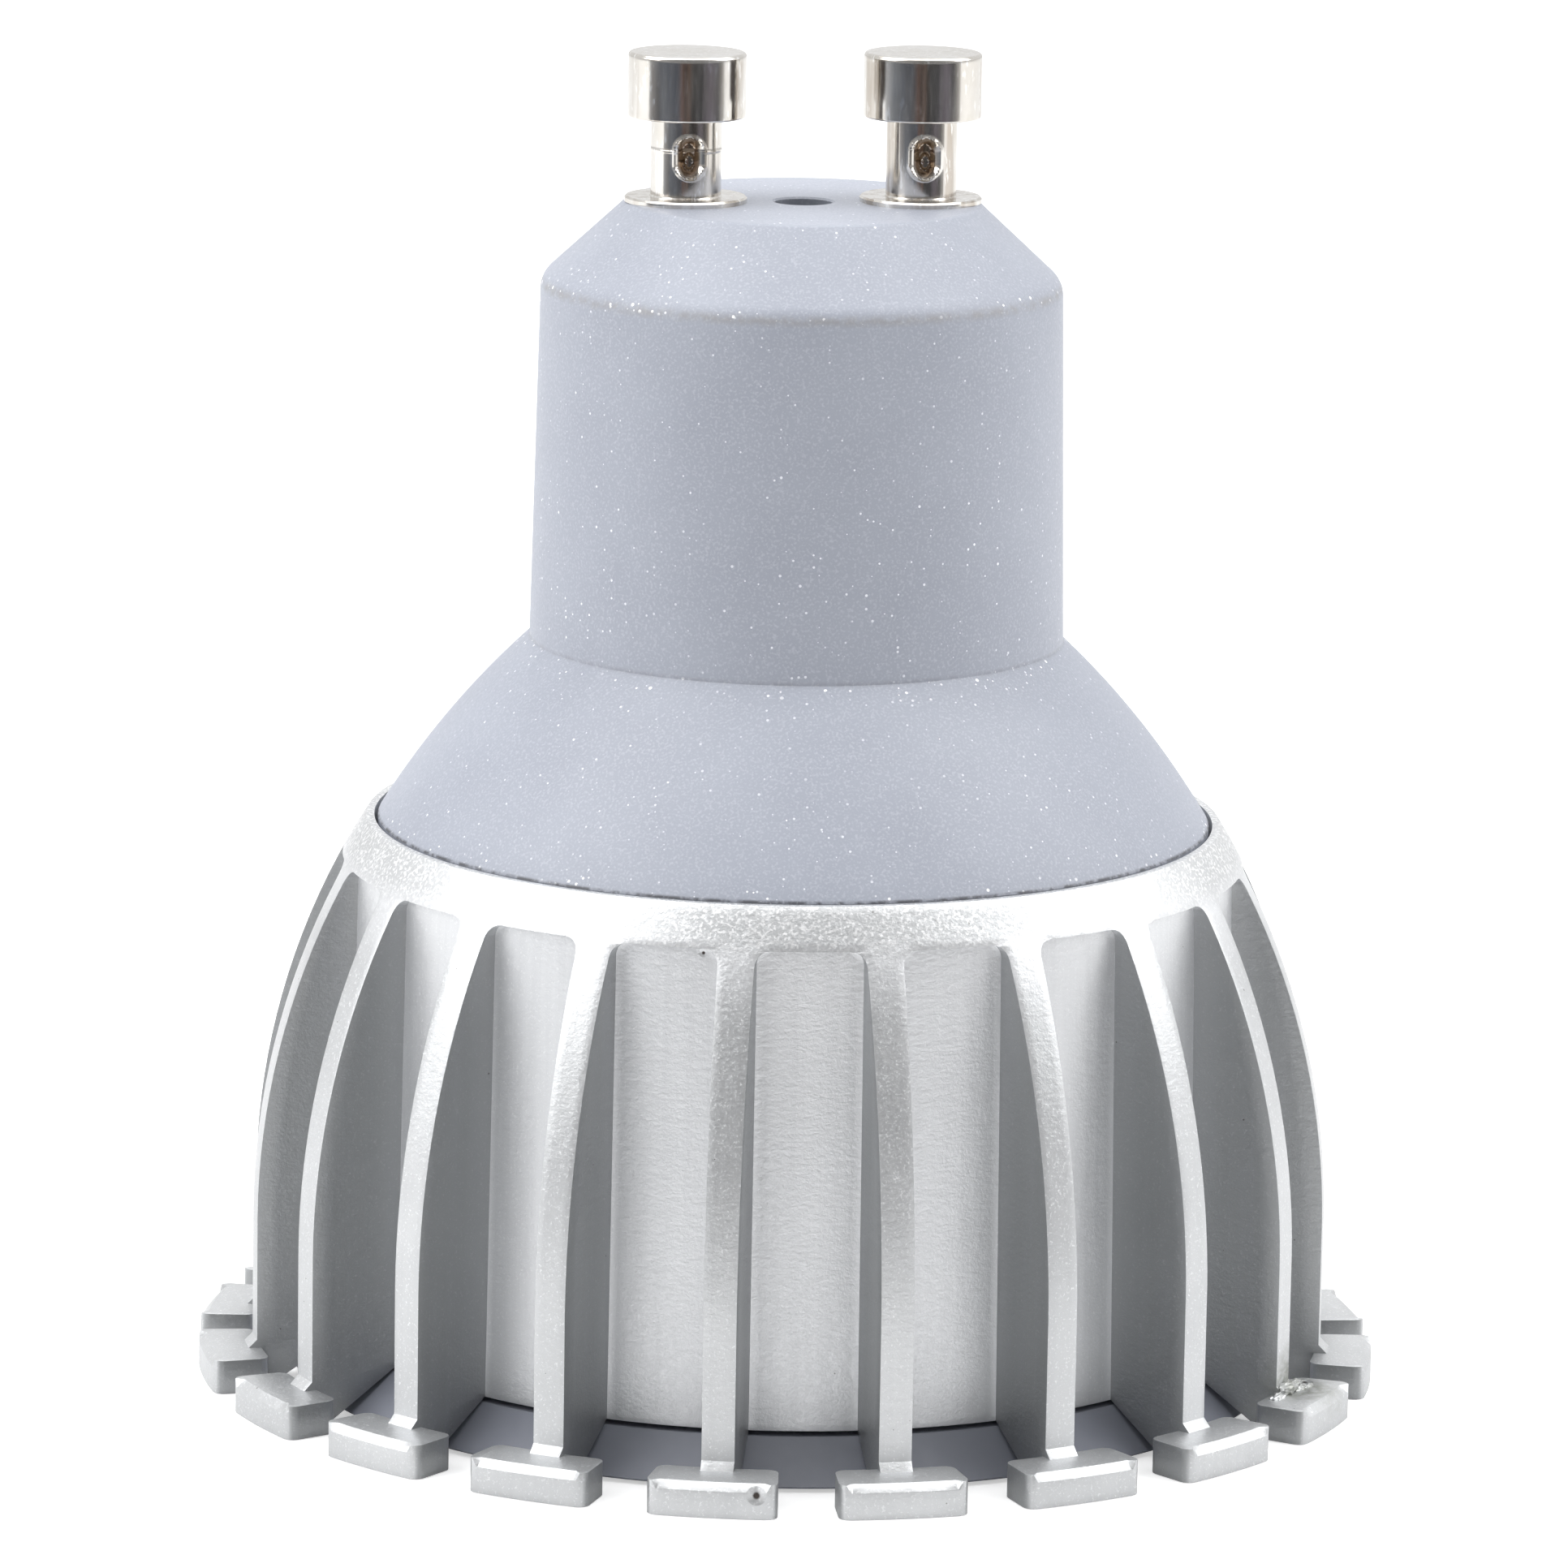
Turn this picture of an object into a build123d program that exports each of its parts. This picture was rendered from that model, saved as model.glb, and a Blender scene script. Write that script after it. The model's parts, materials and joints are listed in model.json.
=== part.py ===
from build123d import *
from math import cos, hypot, pi, radians, sin, sqrt, tan
import os

# LED spotlight lamp with a two-pin twist-lock cap, in millimetres.
# It stands on its front rim: the origin is the centre of that rim, +Z points to the pins, which lie on X.
# Radii are measured from the lamp's axis unless a comment says otherwise.

# Cap and contact pins
pin_spacing = 10.0
pin_head_radius = 2.5
pin_head_height = 2.75
pin_head_edge = 0.28
pin_stem_radius = 1.5
pin_stem_height = 3.6
pin_flange_radius = 2.6
pin_flange_height = 0.25
pin_bore_radius = 0.75
pin_bore_roof = 0.7
pin_rivet_radius = 2.15
pin_rivet_height = 0.45
crimp_height = 1.7
crimp_width = 1.2
crimp_depth = 0.5
crimp_draft = 28
crimp_rise = 2.0
cap_radius = 7.5
cap_edge = 0.3
cap_wall = 2.0
cap_hole_radius = 1.25
cap_recess_radius = 1.75
cap_recess_depth = 0.25

# Base housing
cone_height = 3.3
shoulder_radius = 11.07
shoulder_edge = 1.2
neck_height = 15.4
neck_foot_radius = 11.4
dome_height = 7.85
dome_bow = 36.0
housing_wall = 1.4
spigot_length = 3.0
spigot_wall = 1.35
boss_inset = 3.85
boss_radius = 2.8
rib_thickness = 1.0
rib_depth = 1.1

# Heatsink
fin_count = 20
fin_first_angle = -84.87
fin_root_thickness = 1.55
fin_draft = 1.2
fin_belly_radius = 23.2
fin_belly_height = 7.0
fin_depth = 4.25
fin_slant_setback = 0.9
collar_top = 24.0
collar_band = 1.7
collar_taper = 0.65
collar_lip = 0.35
collar_edge = 0.1
core_flare = 0.35
core_foot_height = 2.05
core_wall = 1.45
pocket_corner = 0.6
foot_reach = 2.2
foot_lap = 0.2
foot_height = 1.45
foot_arc = 12.33
foot_chamfer = 0.33
foot_corner = 0.45
gusset = 0.35
ledge_width = 1.0
ledge_depth = 1.2
snap_groove_depth = 0.25
snap_groove_width = 0.7
floor_thickness = 2.2
wire_hole_radius = 2.2

# Front ring
ring_front = 0.15
ring_inset = 1.0
ring_overhang = 0.1
ring_seam = 0.2
ring_opening_step = 0.6
ring_lip_reach = 1.5
ring_step_inset = 1.4
ring_step_depth = 0.3
ring_skirt_wall = 0.85
ring_skirt_length = 3.2
snap_bead_rise = 0.2

# Optics and emitters
optic_count = 4
optic_web = 0.3
holder_rim = 0.3
holder_plate = 1.25
holder_lip = 0.7
holder_cup_wall = 0.6
holder_cup_length = 4.4
lens_lip = 0.6
lens_flange = 0.85
lens_length = 8.0
lens_rear_radius = 3.3
lens_bulge = 0.9
lens_well_radius = 2.55
lens_well_depth = 2.9
lens_well_draft = 4
lens_well_bulge = 0.45
emitter_side = 3.45
emitter_base = 0.75
emitter_dome_radius = 1.55

# LED board, thermal pad and fasteners
led_board_thickness = 1.6
led_board_gap = 0.9
thermal_pad_thickness = 0.4
thermal_pad_inset = 0.6
board_screw_inset = 2.6
board_screw_radius = 1.15
board_screw_length = 4.6
board_screw_head_radius = 2.2
board_screw_head_height = 1.5
housing_screw_radius = 1.25
housing_screw_length = 8.0
housing_screw_head_radius = 2.3
housing_screw_head_height = 1.3
screw_slot_length = 2.76
screw_slot_width = 0.55
screw_slot_depth = 0.6

# Driver board and the parts on it
driver_board_thickness = 1.0
driver_board_neck_gap = 0.47
driver_board_foot_gap = 2.9
driver_board_foot_height = 9.5
driver_board_rise = 1.5
driver_board_headroom = 3.4
input_can_radius = 4.0
input_can_height = 12.0
input_can_rise = 0.4
output_can_radius = 3.15
output_can_height = 9.0
output_can_rise = 2.0
output_can_inset = 4.0
can_groove_depth = 0.3
can_groove_height = 1.4
can_lead_drop = 1.5
lead_radius = 0.3
lead_anchor = 0.5
transformer_width = 13.2
transformer_height = 12.0
transformer_leg = 2.6
transformer_centre_leg = 2.7
transformer_yoke = 2.5
bobbin_wall = 0.5
bobbin_stand = 0.65
transformer_clear = 1.15
winding_thickness = 1.9
winding_inset = 0.2
winding_corner = 1.5
bridge_size = (4.7, 2.5, 3.9)
bridge_drop = 8.5
chip_size = (4.9, 1.5, 3.9)
chip_rise = 5.0
chip_inset = 5.2
diode_size = (4.4, 2.2, 2.6)
diode_rise = 3.2
diode_inset = 2.9
package_stand = 0.1
leg_thickness = 0.2
leg_length = 1.2
resistor_radius = 1.5
resistor_length = 8.0
resistor_drop = 3.6
resistor_lead_reach = 1.3
inductor_radius = 3.0
inductor_height = 6.0
inductor_flange = 0.9
inductor_wire_depth = 0.6
inductor_drop = 15.5

# Inner wires
input_wire_radius = 0.55
input_lead_top_gap = 0.3
input_lead_drop = 1.2
input_lead_spread = 0.6
input_lead_bend = 0.4
input_lead_lap = 2.2
output_wire_radius = 0.6
output_lead_spread = 1.6
output_lead_half_pitch = 0.9
output_lead_lap = 4.0
output_lead_bend = 0.5
output_lead_inset = 0.9
output_lead_turn = 1.2
output_lead_sag = 0.3
output_lead_reach = 5.2

# Clearances between the pieces
turning_gap = 0.1
sliding_gap = 0.05
hole_gap = 0.15
collar_gap = 0.15
cut_past = 1.0

# Heights that follow from the sizes above
neck_foot = collar_top + dome_height
shoulder = neck_foot + neck_height
cap_face = shoulder + cone_height
cap_under = cap_face - cap_wall
pin_head_under = cap_face + pin_stem_height
pin_top = pin_head_under + pin_head_height
pocket_top = collar_top - collar_band
ledge = collar_top - ledge_depth
ring_top = core_foot_height - ring_seam
holder_front = ring_top
lens_front = holder_front + holder_lip
led_board_front = lens_front + lens_length + sliding_gap
led_board_back = led_board_front + led_board_thickness
floor_under = led_board_back + thermal_pad_thickness
floor_top = floor_under + floor_thickness
driver_board_foot = floor_top + driver_board_rise
driver_board_shoulder = driver_board_foot + driver_board_foot_height
driver_board_top = cap_under - driver_board_headroom
board_face = driver_board_thickness / 2

# Radii of the heatsink, from the fins' belly inwards and outwards
foot_radius = fin_belly_radius + foot_reach
foot_inner_radius = fin_belly_radius - foot_lap
fin_slant_radius = fin_belly_radius - fin_slant_setback
core_top_radius = fin_belly_radius - fin_depth
core_foot_radius = core_top_radius + core_flare
collar_radius = core_top_radius - collar_taper
ledge_radius = collar_radius - collar_lip
driver_bore_radius = ledge_radius - ledge_width
optic_bore_radius = core_top_radius - core_wall

# Radii of what fits into the heatsink
skirt_radius = ledge_radius - collar_gap
spigot_radius = driver_bore_radius - turning_gap
spigot_bore_radius = spigot_radius - spigot_wall
boss_place = spigot_radius - boss_inset
ring_radius = fin_slant_radius - ring_inset
ring_top_radius = core_foot_radius + ring_overhang
ring_step_radius = ring_radius - ring_step_inset
ring_skirt_radius = optic_bore_radius - turning_gap
ring_skirt_bore_radius = ring_skirt_radius - ring_skirt_wall
ring_opening_radius = ring_skirt_radius - ring_opening_step
ring_lip_radius = ring_skirt_radius - ring_lip_reach
holder_radius = ring_skirt_bore_radius - turning_gap
led_board_radius = optic_bore_radius - led_board_gap
thermal_pad_radius = led_board_radius - thermal_pad_inset
board_screw_place = led_board_radius - board_screw_inset

# The lenses are as large as the holder's cups allow, with one thin web between neighbours
optic_half_chord = sin(pi / optic_count)
cup_reach = holder_radius - holder_rim - holder_cup_wall - sliding_gap
lens_radius = (2 * optic_half_chord * cup_reach - 2 * sliding_gap - optic_web) / (2 + 2 * optic_half_chord)
optic_pitch_radius = cup_reach - lens_radius
holder_opening_radius = lens_radius - lens_lip

# Widths of what fits into the base housing
shank_radius = pin_stem_radius - sliding_gap
driver_board_neck_half = shoulder_radius - housing_wall - driver_board_neck_gap
driver_board_foot_half = spigot_bore_radius - driver_board_foot_gap

# The transformer's bobbin fills the room between the driver board and the screw bosses, and the core's
# centre leg, which is half as deep as the core, fills the bobbin
bobbin_flange_depth = boss_place - boss_radius - board_face - bobbin_stand - transformer_clear
transformer_depth = 2 * (bobbin_flange_depth - 2 * (winding_thickness + bobbin_wall + sliding_gap))


def disc(radius, bottom, top, x=0.0, y=0.0):
    return Pos(x, y, bottom) * extrude(Circle(radius), top - bottom)


def block(size, centre):
    return Pos(*centre) * Box(*size)


def turned(outline):
    # A closed outline of radius and height, turned about the lamp's axis
    return revolve(Plane.XZ * make_face(outline), Axis.Z)


def around(piece, count, first_angle=0.0):
    return [Rot(0, 0, first_angle + turn * 360 / count) * piece for turn in range(count)]


def wire(points, radius):
    # Straight runs joined by the largest arcs that leave a tenth of the shorter run straight
    stops = [Vector(*point) for point in points]
    corners = []
    for before, corner, after in zip(stops, stops[1:], stops[2:]):
        half_turn = radians((corner - before).get_angle(after - corner)) / 2
        corners.append(0.45 * min((corner - before).length, (after - corner).length) / tan(half_turn))
    path = FilletPolyline(*stops, radius=corners)
    return sweep(Plane(path @ 0, z_dir=path % 0) * Circle(radius), path=path)


def contact_pin(side):
    x = side * pin_spacing / 2
    head = disc(pin_head_radius, pin_head_under, pin_top)
    head = fillet(head.edges().filter_by(GeomType.CIRCLE), pin_head_edge)
    pin = head + disc(pin_stem_radius, cap_face, pin_head_under + pin_head_edge)
    pin += disc(pin_flange_radius, cap_face, cap_face + pin_flange_height)
    pin += disc(shank_radius, cap_under - pin_rivet_height, cap_face)
    pin += disc(pin_rivet_radius, cap_under - pin_rivet_height, cap_under)
    pin -= disc(pin_bore_radius, cap_under - pin_rivet_height, pin_head_under - pin_bore_roof)
    # The punch mark that holds the wire, on the side that faces -Y
    mark = Plane((0, -pin_stem_radius, cap_face + crimp_rise), x_dir=(1, 0, 0), z_dir=(0, 1, 0))
    oval = mark * SlotOverall(crimp_height, crimp_width, rotation=90)
    punch = extrude(oval, crimp_depth, taper=crimp_draft)
    return Pos(x, 0, 0) * (pin - punch)


def dome_centre():
    # Centre of the dome's outline arc, from its two ends and its radius
    run = skirt_radius - neck_foot_radius
    half_chord = hypot(run, dome_height) / 2
    reach = sqrt(dome_bow ** 2 - half_chord ** 2) / (2 * half_chord)
    middle = ((skirt_radius + neck_foot_radius) / 2, collar_top + dome_height / 2)
    return middle[0] - reach * dome_height, middle[1] - reach * run


def dome_ceiling(radius):
    centre = dome_centre()
    return centre[1] + sqrt((dome_bow - housing_wall) ** 2 - (radius - centre[0]) ** 2)


def housing_body():
    outline = Polyline((neck_foot_radius, neck_foot), (shoulder_radius, shoulder), (cap_radius, cap_face),
                       (0, cap_face), (0, ledge - spigot_length), (spigot_radius, ledge - spigot_length),
                       (spigot_radius, ledge), (skirt_radius, ledge), (skirt_radius, collar_top))
    dome = RadiusArc((skirt_radius, collar_top), (neck_foot_radius, neck_foot), -dome_bow)
    body = turned(outline + dome)
    for height, edge_radius in ((shoulder, shoulder_edge), (cap_face, cap_edge)):
        rings = body.edges().filter_by(GeomType.CIRCLE)
        body = fillet(rings.filter_by_position(Axis.Z, height - sliding_gap, height + sliding_gap), edge_radius)
    return body


def housing_cavity():
    inner_shoulder_radius = shoulder_radius - housing_wall
    inner_neck_radius = neck_foot_radius - housing_wall
    drop = (inner_shoulder_radius - cap_radius) * cone_height / (shoulder_radius - cap_radius)
    dome_foot = (spigot_bore_radius, dome_ceiling(spigot_bore_radius))
    dome_head = (inner_neck_radius, dome_ceiling(inner_neck_radius))
    mouth = ledge - spigot_length - cut_past
    outline = Polyline(dome_head, (inner_shoulder_radius, cap_under - drop), (cap_radius, cap_under),
                       (0, cap_under), (0, mouth), (spigot_bore_radius, mouth), dome_foot)
    return turned(outline + RadiusArc(dome_foot, dome_head, housing_wall - dome_bow))


def base_housing():
    body = housing_body()
    shell = body - housing_cavity()
    # Two bosses reach down to the heatsink's floor and take its screws
    reach = body + disc(spigot_radius, floor_top, ledge)
    for side in (-1, 1):
        boss = disc(boss_radius, floor_top, neck_foot, 0, side * boss_place) & reach
        pilot = disc(housing_screw_radius + sliding_gap, floor_top - cut_past,
                     floor_under + housing_screw_length + cut_past, 0, side * boss_place)
        shell = shell + boss - pilot
    # Two pairs of ribs hold the driver board's long edges
    rib_gap = board_face + sliding_gap
    rib_foot = neck_foot - housing_wall
    rib_top = shoulder - housing_wall
    for side in (-1, 1):
        for face in (-1, 1):
            rib_middle = side * (driver_board_neck_half - rib_depth + neck_foot_radius) / 2
            rib_width = neck_foot_radius - driver_board_neck_half + rib_depth
            rib = block((rib_width, rib_thickness, rib_top - rib_foot),
                        (rib_middle, face * (rib_gap + rib_thickness / 2), (rib_top + rib_foot) / 2))
            shell += rib & body
    for side in (-1, 1):
        shell -= disc(pin_stem_radius, cap_under - cut_past, cap_face + cut_past, side * pin_spacing / 2)
    shell -= disc(cap_hole_radius, cap_under - cut_past, cap_face + cut_past)
    return shell - disc(cap_recess_radius, cap_under - cut_past, cap_under + cap_recess_depth)


def fin_band():
    # The section of one fin and the collar, turned full circle before the pockets are cut
    seat_radius = fin_belly_radius + gusset
    outline = Polyline((collar_radius, collar_top), (ledge_radius, collar_top), (optic_bore_radius, ledge),
                       (optic_bore_radius, core_foot_height), (core_foot_radius, core_foot_height),
                       (fin_slant_radius, 0), (seat_radius, 0), (seat_radius, foot_height),
                       (fin_belly_radius, foot_height + gusset), (fin_belly_radius, fin_belly_height))
    bow = TangentArc((fin_belly_radius, fin_belly_height), (collar_radius, collar_top), tangent=(0, 1))
    band = turned(outline + bow)
    top_rims = band.edges().filter_by(GeomType.CIRCLE).group_by(Axis.Z)[-1]
    return fillet(top_rims.sort_by(SortBy.RADIUS)[-1], collar_edge)


def core():
    # The wall that the fins stand on, with the draft that lets the die leave
    outline = Polyline((optic_bore_radius, core_foot_height), (core_foot_radius, core_foot_height),
                       (core_top_radius, pocket_top), (ledge_radius, collar_top - collar_edge),
                       (0, collar_top - collar_edge), (0, floor_under), (optic_bore_radius, floor_under),
                       close=True)
    return turned(outline)


def pocket():
    # The gap between two fins widens outwards, because each fin keeps nearly one thickness
    half_pitch = 180 / fin_count
    side_draft = half_pitch + fin_draft
    # The cutter starts a little inside the bore, smaller by what its draft adds up to the core's face
    start = core_top_radius - 1.25 * core_wall
    growth = (core_top_radius - start) * tan(radians(side_draft))
    start_top = pocket_top - growth
    root_half = core_top_radius * tan(radians(half_pitch)) - fin_root_thickness / 2 / cos(radians(half_pitch))
    outline = Pos(0, start_top / 2 - cut_past) * Rectangle(2 * (root_half - growth), start_top + 2 * cut_past)
    outline = fillet(outline.vertices().group_by(Axis.Y)[-1], pocket_corner - growth)
    face = Plane((start, 0, 0), x_dir=(0, 1, 0), z_dir=(1, 0, 0)) * outline
    return extrude(face, foot_radius - start, taper=-side_draft)


def foot():
    # One block of the interrupted rim: rounded corners in plan, chamfered along its outer top edge
    wedge_reach = 2 * foot_radius
    wedge_half = wedge_reach * tan(radians(foot_arc / 2))
    wedge = Polygon((0, 0), (wedge_reach, -wedge_half), (wedge_reach, wedge_half), align=None)
    plan = (Circle(foot_radius) - Circle(foot_inner_radius)) & wedge
    plan = fillet(plan.vertices(), foot_corner)
    inner, small_chamfer = foot_inner_radius - cut_past, foot_chamfer / 3
    rim = turned(Polyline((inner, 0), (foot_radius - small_chamfer, 0), (foot_radius, small_chamfer),
                          (foot_radius, foot_height - foot_chamfer), (foot_radius - foot_chamfer, foot_height),
                          (inner, foot_height), close=True))
    return extrude(plan, foot_height) & rim


def heatsink():
    half_pitch = 180 / fin_count
    body = fin_band() - around(pocket(), fin_count, fin_first_angle + half_pitch)
    body = body + core() + around(foot(), fin_count, fin_first_angle)
    groove_middle = snap_height()
    inside = disc(optic_bore_radius, -cut_past, floor_under)
    inside += disc(optic_bore_radius + snap_groove_depth, groove_middle - snap_groove_width / 2,
                   groove_middle + snap_groove_width / 2)
    inside += disc(driver_bore_radius, floor_top, collar_top + cut_past)
    inside += disc(ledge_radius, ledge, collar_top + cut_past)
    below, above = floor_under - cut_past, floor_top + cut_past
    inside += disc(wire_hole_radius, below, above)
    for side in (-1, 1):
        inside += disc(board_screw_radius + sliding_gap, below, above, side * board_screw_place)
        inside += Pos(0, side * boss_place, 0) * countersunk_screw(hole_gap, above - floor_under)
    return body - inside


def snap_height():
    return ring_top + ring_skirt_length - snap_groove_width


def front_ring():
    skirt_top = ring_top + ring_skirt_length
    bead = snap_height()
    bead_half = snap_groove_width / 2 - sliding_gap
    outline = Polyline((ring_radius, ring_front), (ring_top_radius, ring_top), (ring_skirt_radius, ring_top),
                       (ring_skirt_radius, bead - bead_half), (ring_skirt_radius + snap_bead_rise, bead),
                       (ring_skirt_radius, bead + bead_half), (ring_skirt_radius, skirt_top),
                       (ring_skirt_bore_radius, skirt_top), (ring_skirt_bore_radius, ring_top),
                       (ring_lip_radius, ring_top),
                       (ring_lip_radius, ring_top - ring_skirt_wall), (ring_opening_radius, ring_front),
                       (ring_step_radius, ring_front), (ring_step_radius, ring_front + ring_step_depth),
                       (ring_step_radius + ring_skirt_wall / 2, ring_front + ring_step_depth),
                       (ring_step_radius + ring_skirt_wall / 2, ring_front), close=True)
    return turned(outline)


def optic_places():
    return around(Pos(optic_pitch_radius, 0, 0), optic_count, 180 / optic_count)


def lens_holder():
    bore = lens_radius + sliding_gap
    holder = disc(holder_radius, holder_front, holder_front + holder_plate)
    cup_top = holder_front + holder_plate + holder_cup_length
    for place in optic_places():
        holder += place * disc(bore + holder_cup_wall, holder_front, cup_top)
    for place in optic_places():
        holder -= place * disc(bore, lens_front, cup_top + cut_past)
        holder -= place * disc(holder_opening_radius, holder_front - cut_past, lens_front + cut_past)
    return holder


def lens():
    # Turned outline of a collimating lens: flat rim, bulged reflecting flank, and a well for the emitter
    back = lens_front + lens_length
    flange_back = lens_front + lens_flange
    neck = lens_radius - lens_flange / 2
    face = holder_front + sliding_gap
    face_radius = holder_opening_radius - sliding_gap
    well_top = back - lens_well_depth
    well_end = lens_well_radius - lens_well_depth * tan(radians(lens_well_draft))
    halfway = flank_middle(neck, flange_back, back)
    flank = ThreePointArc((neck, flange_back), halfway, (lens_rear_radius, back))
    well_peak = well_top + lens_well_bulge
    well = TangentArc((0, well_peak), (well_end, well_top), tangent=(1, 0))
    outline = Polyline((0, face), (face_radius, face), (face_radius, lens_front), (lens_radius, lens_front),
                       (lens_radius, flange_back), (neck, flange_back))
    outline += flank + Polyline((lens_rear_radius, back), (lens_well_radius, back), (well_end, well_top))
    return turned(outline + well + Line((0, well_peak), (0, face)))


def flank_middle(neck, flange_back, back):
    # The point halfway along the flank, pushed out from the straight cone by the bulge
    run, rise = neck - lens_rear_radius, back - flange_back
    slant = hypot(run, rise)
    middle = ((neck + lens_rear_radius) / 2, (flange_back + back) / 2)
    return middle[0] + lens_bulge * rise / slant, middle[1] + lens_bulge * run / slant


def emitter():
    base = block((emitter_side, emitter_side, emitter_base), (0, 0, led_board_front - emitter_base / 2))
    dome = Pos(0, 0, led_board_front - emitter_base) * Sphere(emitter_dome_radius)
    return base + (dome & disc(emitter_dome_radius, 0, led_board_front - emitter_base))


def led_board():
    board = disc(led_board_radius, led_board_front, led_board_back)
    below, above = led_board_front - cut_past, led_board_back + cut_past
    board -= disc(wire_hole_radius, below, above)
    for side in (-1, 1):
        board -= disc(board_screw_radius + hole_gap, below, above, side * board_screw_place)
    return board


def thermal_pad():
    pad = disc(thermal_pad_radius, led_board_back, floor_under)
    below, above = led_board_back - cut_past, floor_under + cut_past
    pad -= disc(wire_hole_radius + hole_gap, below, above)
    for side in (-1, 1):
        pad -= disc(board_screw_radius + 2 * hole_gap, below, above, side * board_screw_place)
    return pad


def cross_slot(bottom):
    # The crossed recess in a screw head whose face is at this height
    arm = (screw_slot_length, screw_slot_width, screw_slot_depth)
    cut = block(arm, (0, 0, bottom + screw_slot_depth / 2))
    return cut + Rot(0, 0, 90) * cut


def board_screws():
    head_face = led_board_front - board_screw_head_height
    head = disc(board_screw_head_radius, head_face, led_board_front)
    head = fillet(head.edges().group_by(Axis.Z)[0], board_screw_head_height / 3)
    screw = head + disc(board_screw_radius, led_board_front, led_board_front + board_screw_length)
    screw -= cross_slot(head_face)
    return [Pos(side * board_screw_place, 0, 0) * screw for side in (-1, 1)]


def countersunk_screw(extra=0.0, length=housing_screw_length):
    # Head face level with the underside of the heatsink's floor; extra makes it the clearance hole for itself
    head_radius = housing_screw_head_radius + extra
    radius = housing_screw_radius + extra
    outline = Polyline((0, floor_under), (head_radius, floor_under),
                       (radius, floor_under + housing_screw_head_height), (radius, floor_under + length),
                       (0, floor_under + length), close=True)
    return turned(outline)


def housing_screws():
    screw = countersunk_screw() - cross_slot(floor_under)
    return [Pos(0, side * boss_place, 0) * screw for side in (-1, 1)]


def driver_board():
    neck_size = (2 * driver_board_neck_half, driver_board_thickness, driver_board_top - driver_board_foot)
    foot_size = (2 * driver_board_foot_half, driver_board_thickness, driver_board_foot_height)
    board = block(neck_size, (0, 0, (driver_board_top + driver_board_foot) / 2))
    board += block(foot_size, (0, 0, (driver_board_shoulder + driver_board_foot) / 2))
    return board


def can(radius, height, foot):
    # An electrolytic can: crimped above its seal, standing on the height given
    body = disc(radius, foot, foot + height)
    body = fillet(body.edges().filter_by(GeomType.CIRCLE), can_groove_depth)
    groove = foot + can_groove_height
    ring = disc(radius + cut_past, groove, groove + 2 * can_groove_depth)
    ring -= disc(radius - can_groove_depth, groove, groove + 2 * can_groove_depth)
    return body - ring


def lying_can(radius, height, foot, face, x=0.0):
    # A can lies along the board on one face of it, and its two leads bend round into the board
    y = face * (board_face + radius)
    body = Pos(x, y, 0) * can(radius, height, foot)
    for side in (-1, 1):
        lead_x = x + side * radius / 2
        drop = foot - can_lead_drop
        body += wire([(lead_x, y, foot + lead_anchor), (lead_x, y, drop), (lead_x, face * board_face, drop)],
                     lead_radius)
    return body


def transformer_half(side):
    # One E of the core; its open side meets the other half at the middle of the height
    half = transformer_height / 2
    shape = block((transformer_width, transformer_depth, transformer_yoke), (0, 0, half - transformer_yoke / 2))
    outer = (transformer_width - transformer_leg) / 2
    shape += block((transformer_centre_leg, transformer_depth / 2, half), (0, 0, half / 2))
    for leg in (-1, 1):
        shape += block((transformer_leg, transformer_depth, half), (leg * outer, 0, half / 2))
    return transformer_place() * (shape if side > 0 else Rot(180, 0, 0) * shape)


def transformer_place():
    y = -(board_face + bobbin_stand + bobbin_flange_depth / 2)
    z = driver_board_foot + transformer_height / 2 + bobbin_wall
    return Pos(0, y, z)


def transformer_bobbin():
    window = transformer_height - 2 * transformer_yoke - 2 * sliding_gap
    tube_x = transformer_centre_leg + 2 * (bobbin_wall + sliding_gap)
    tube_y = transformer_depth / 2 + 2 * (bobbin_wall + sliding_gap)
    flange_x = tube_x + 2 * winding_thickness
    bobbin = Box(tube_x, tube_y, window)
    for side in (-1, 1):
        bobbin += block((flange_x, bobbin_flange_depth, bobbin_wall), (0, 0, side * (window - bobbin_wall) / 2))
    bobbin -= Box(transformer_centre_leg + 2 * sliding_gap, transformer_depth / 2 + 2 * sliding_gap, window)
    # Two rails stand the bobbin on the board, one at each end of the core
    for side in (-1, 1):
        bobbin += block((flange_x, bobbin_stand, 2 * bobbin_wall),
                        (0, (bobbin_flange_depth + bobbin_stand) / 2, side * (window / 2 - bobbin_wall)))
    return transformer_place() * bobbin


def transformer_winding():
    window = transformer_height - 2 * transformer_yoke - 2 * (bobbin_wall + 2 * sliding_gap)
    tube_x = transformer_centre_leg + 2 * (bobbin_wall + 2 * sliding_gap)
    tube_y = transformer_depth / 2 + 2 * (bobbin_wall + 2 * sliding_gap)
    build_up = 2 * (winding_thickness - winding_inset)
    coil = Rectangle(tube_x + build_up, tube_y + build_up)
    coil = fillet(coil.vertices(), winding_corner) - Rectangle(tube_x, tube_y)
    return transformer_place() * Pos(0, 0, -window / 2) * extrude(coil, window)


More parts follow.
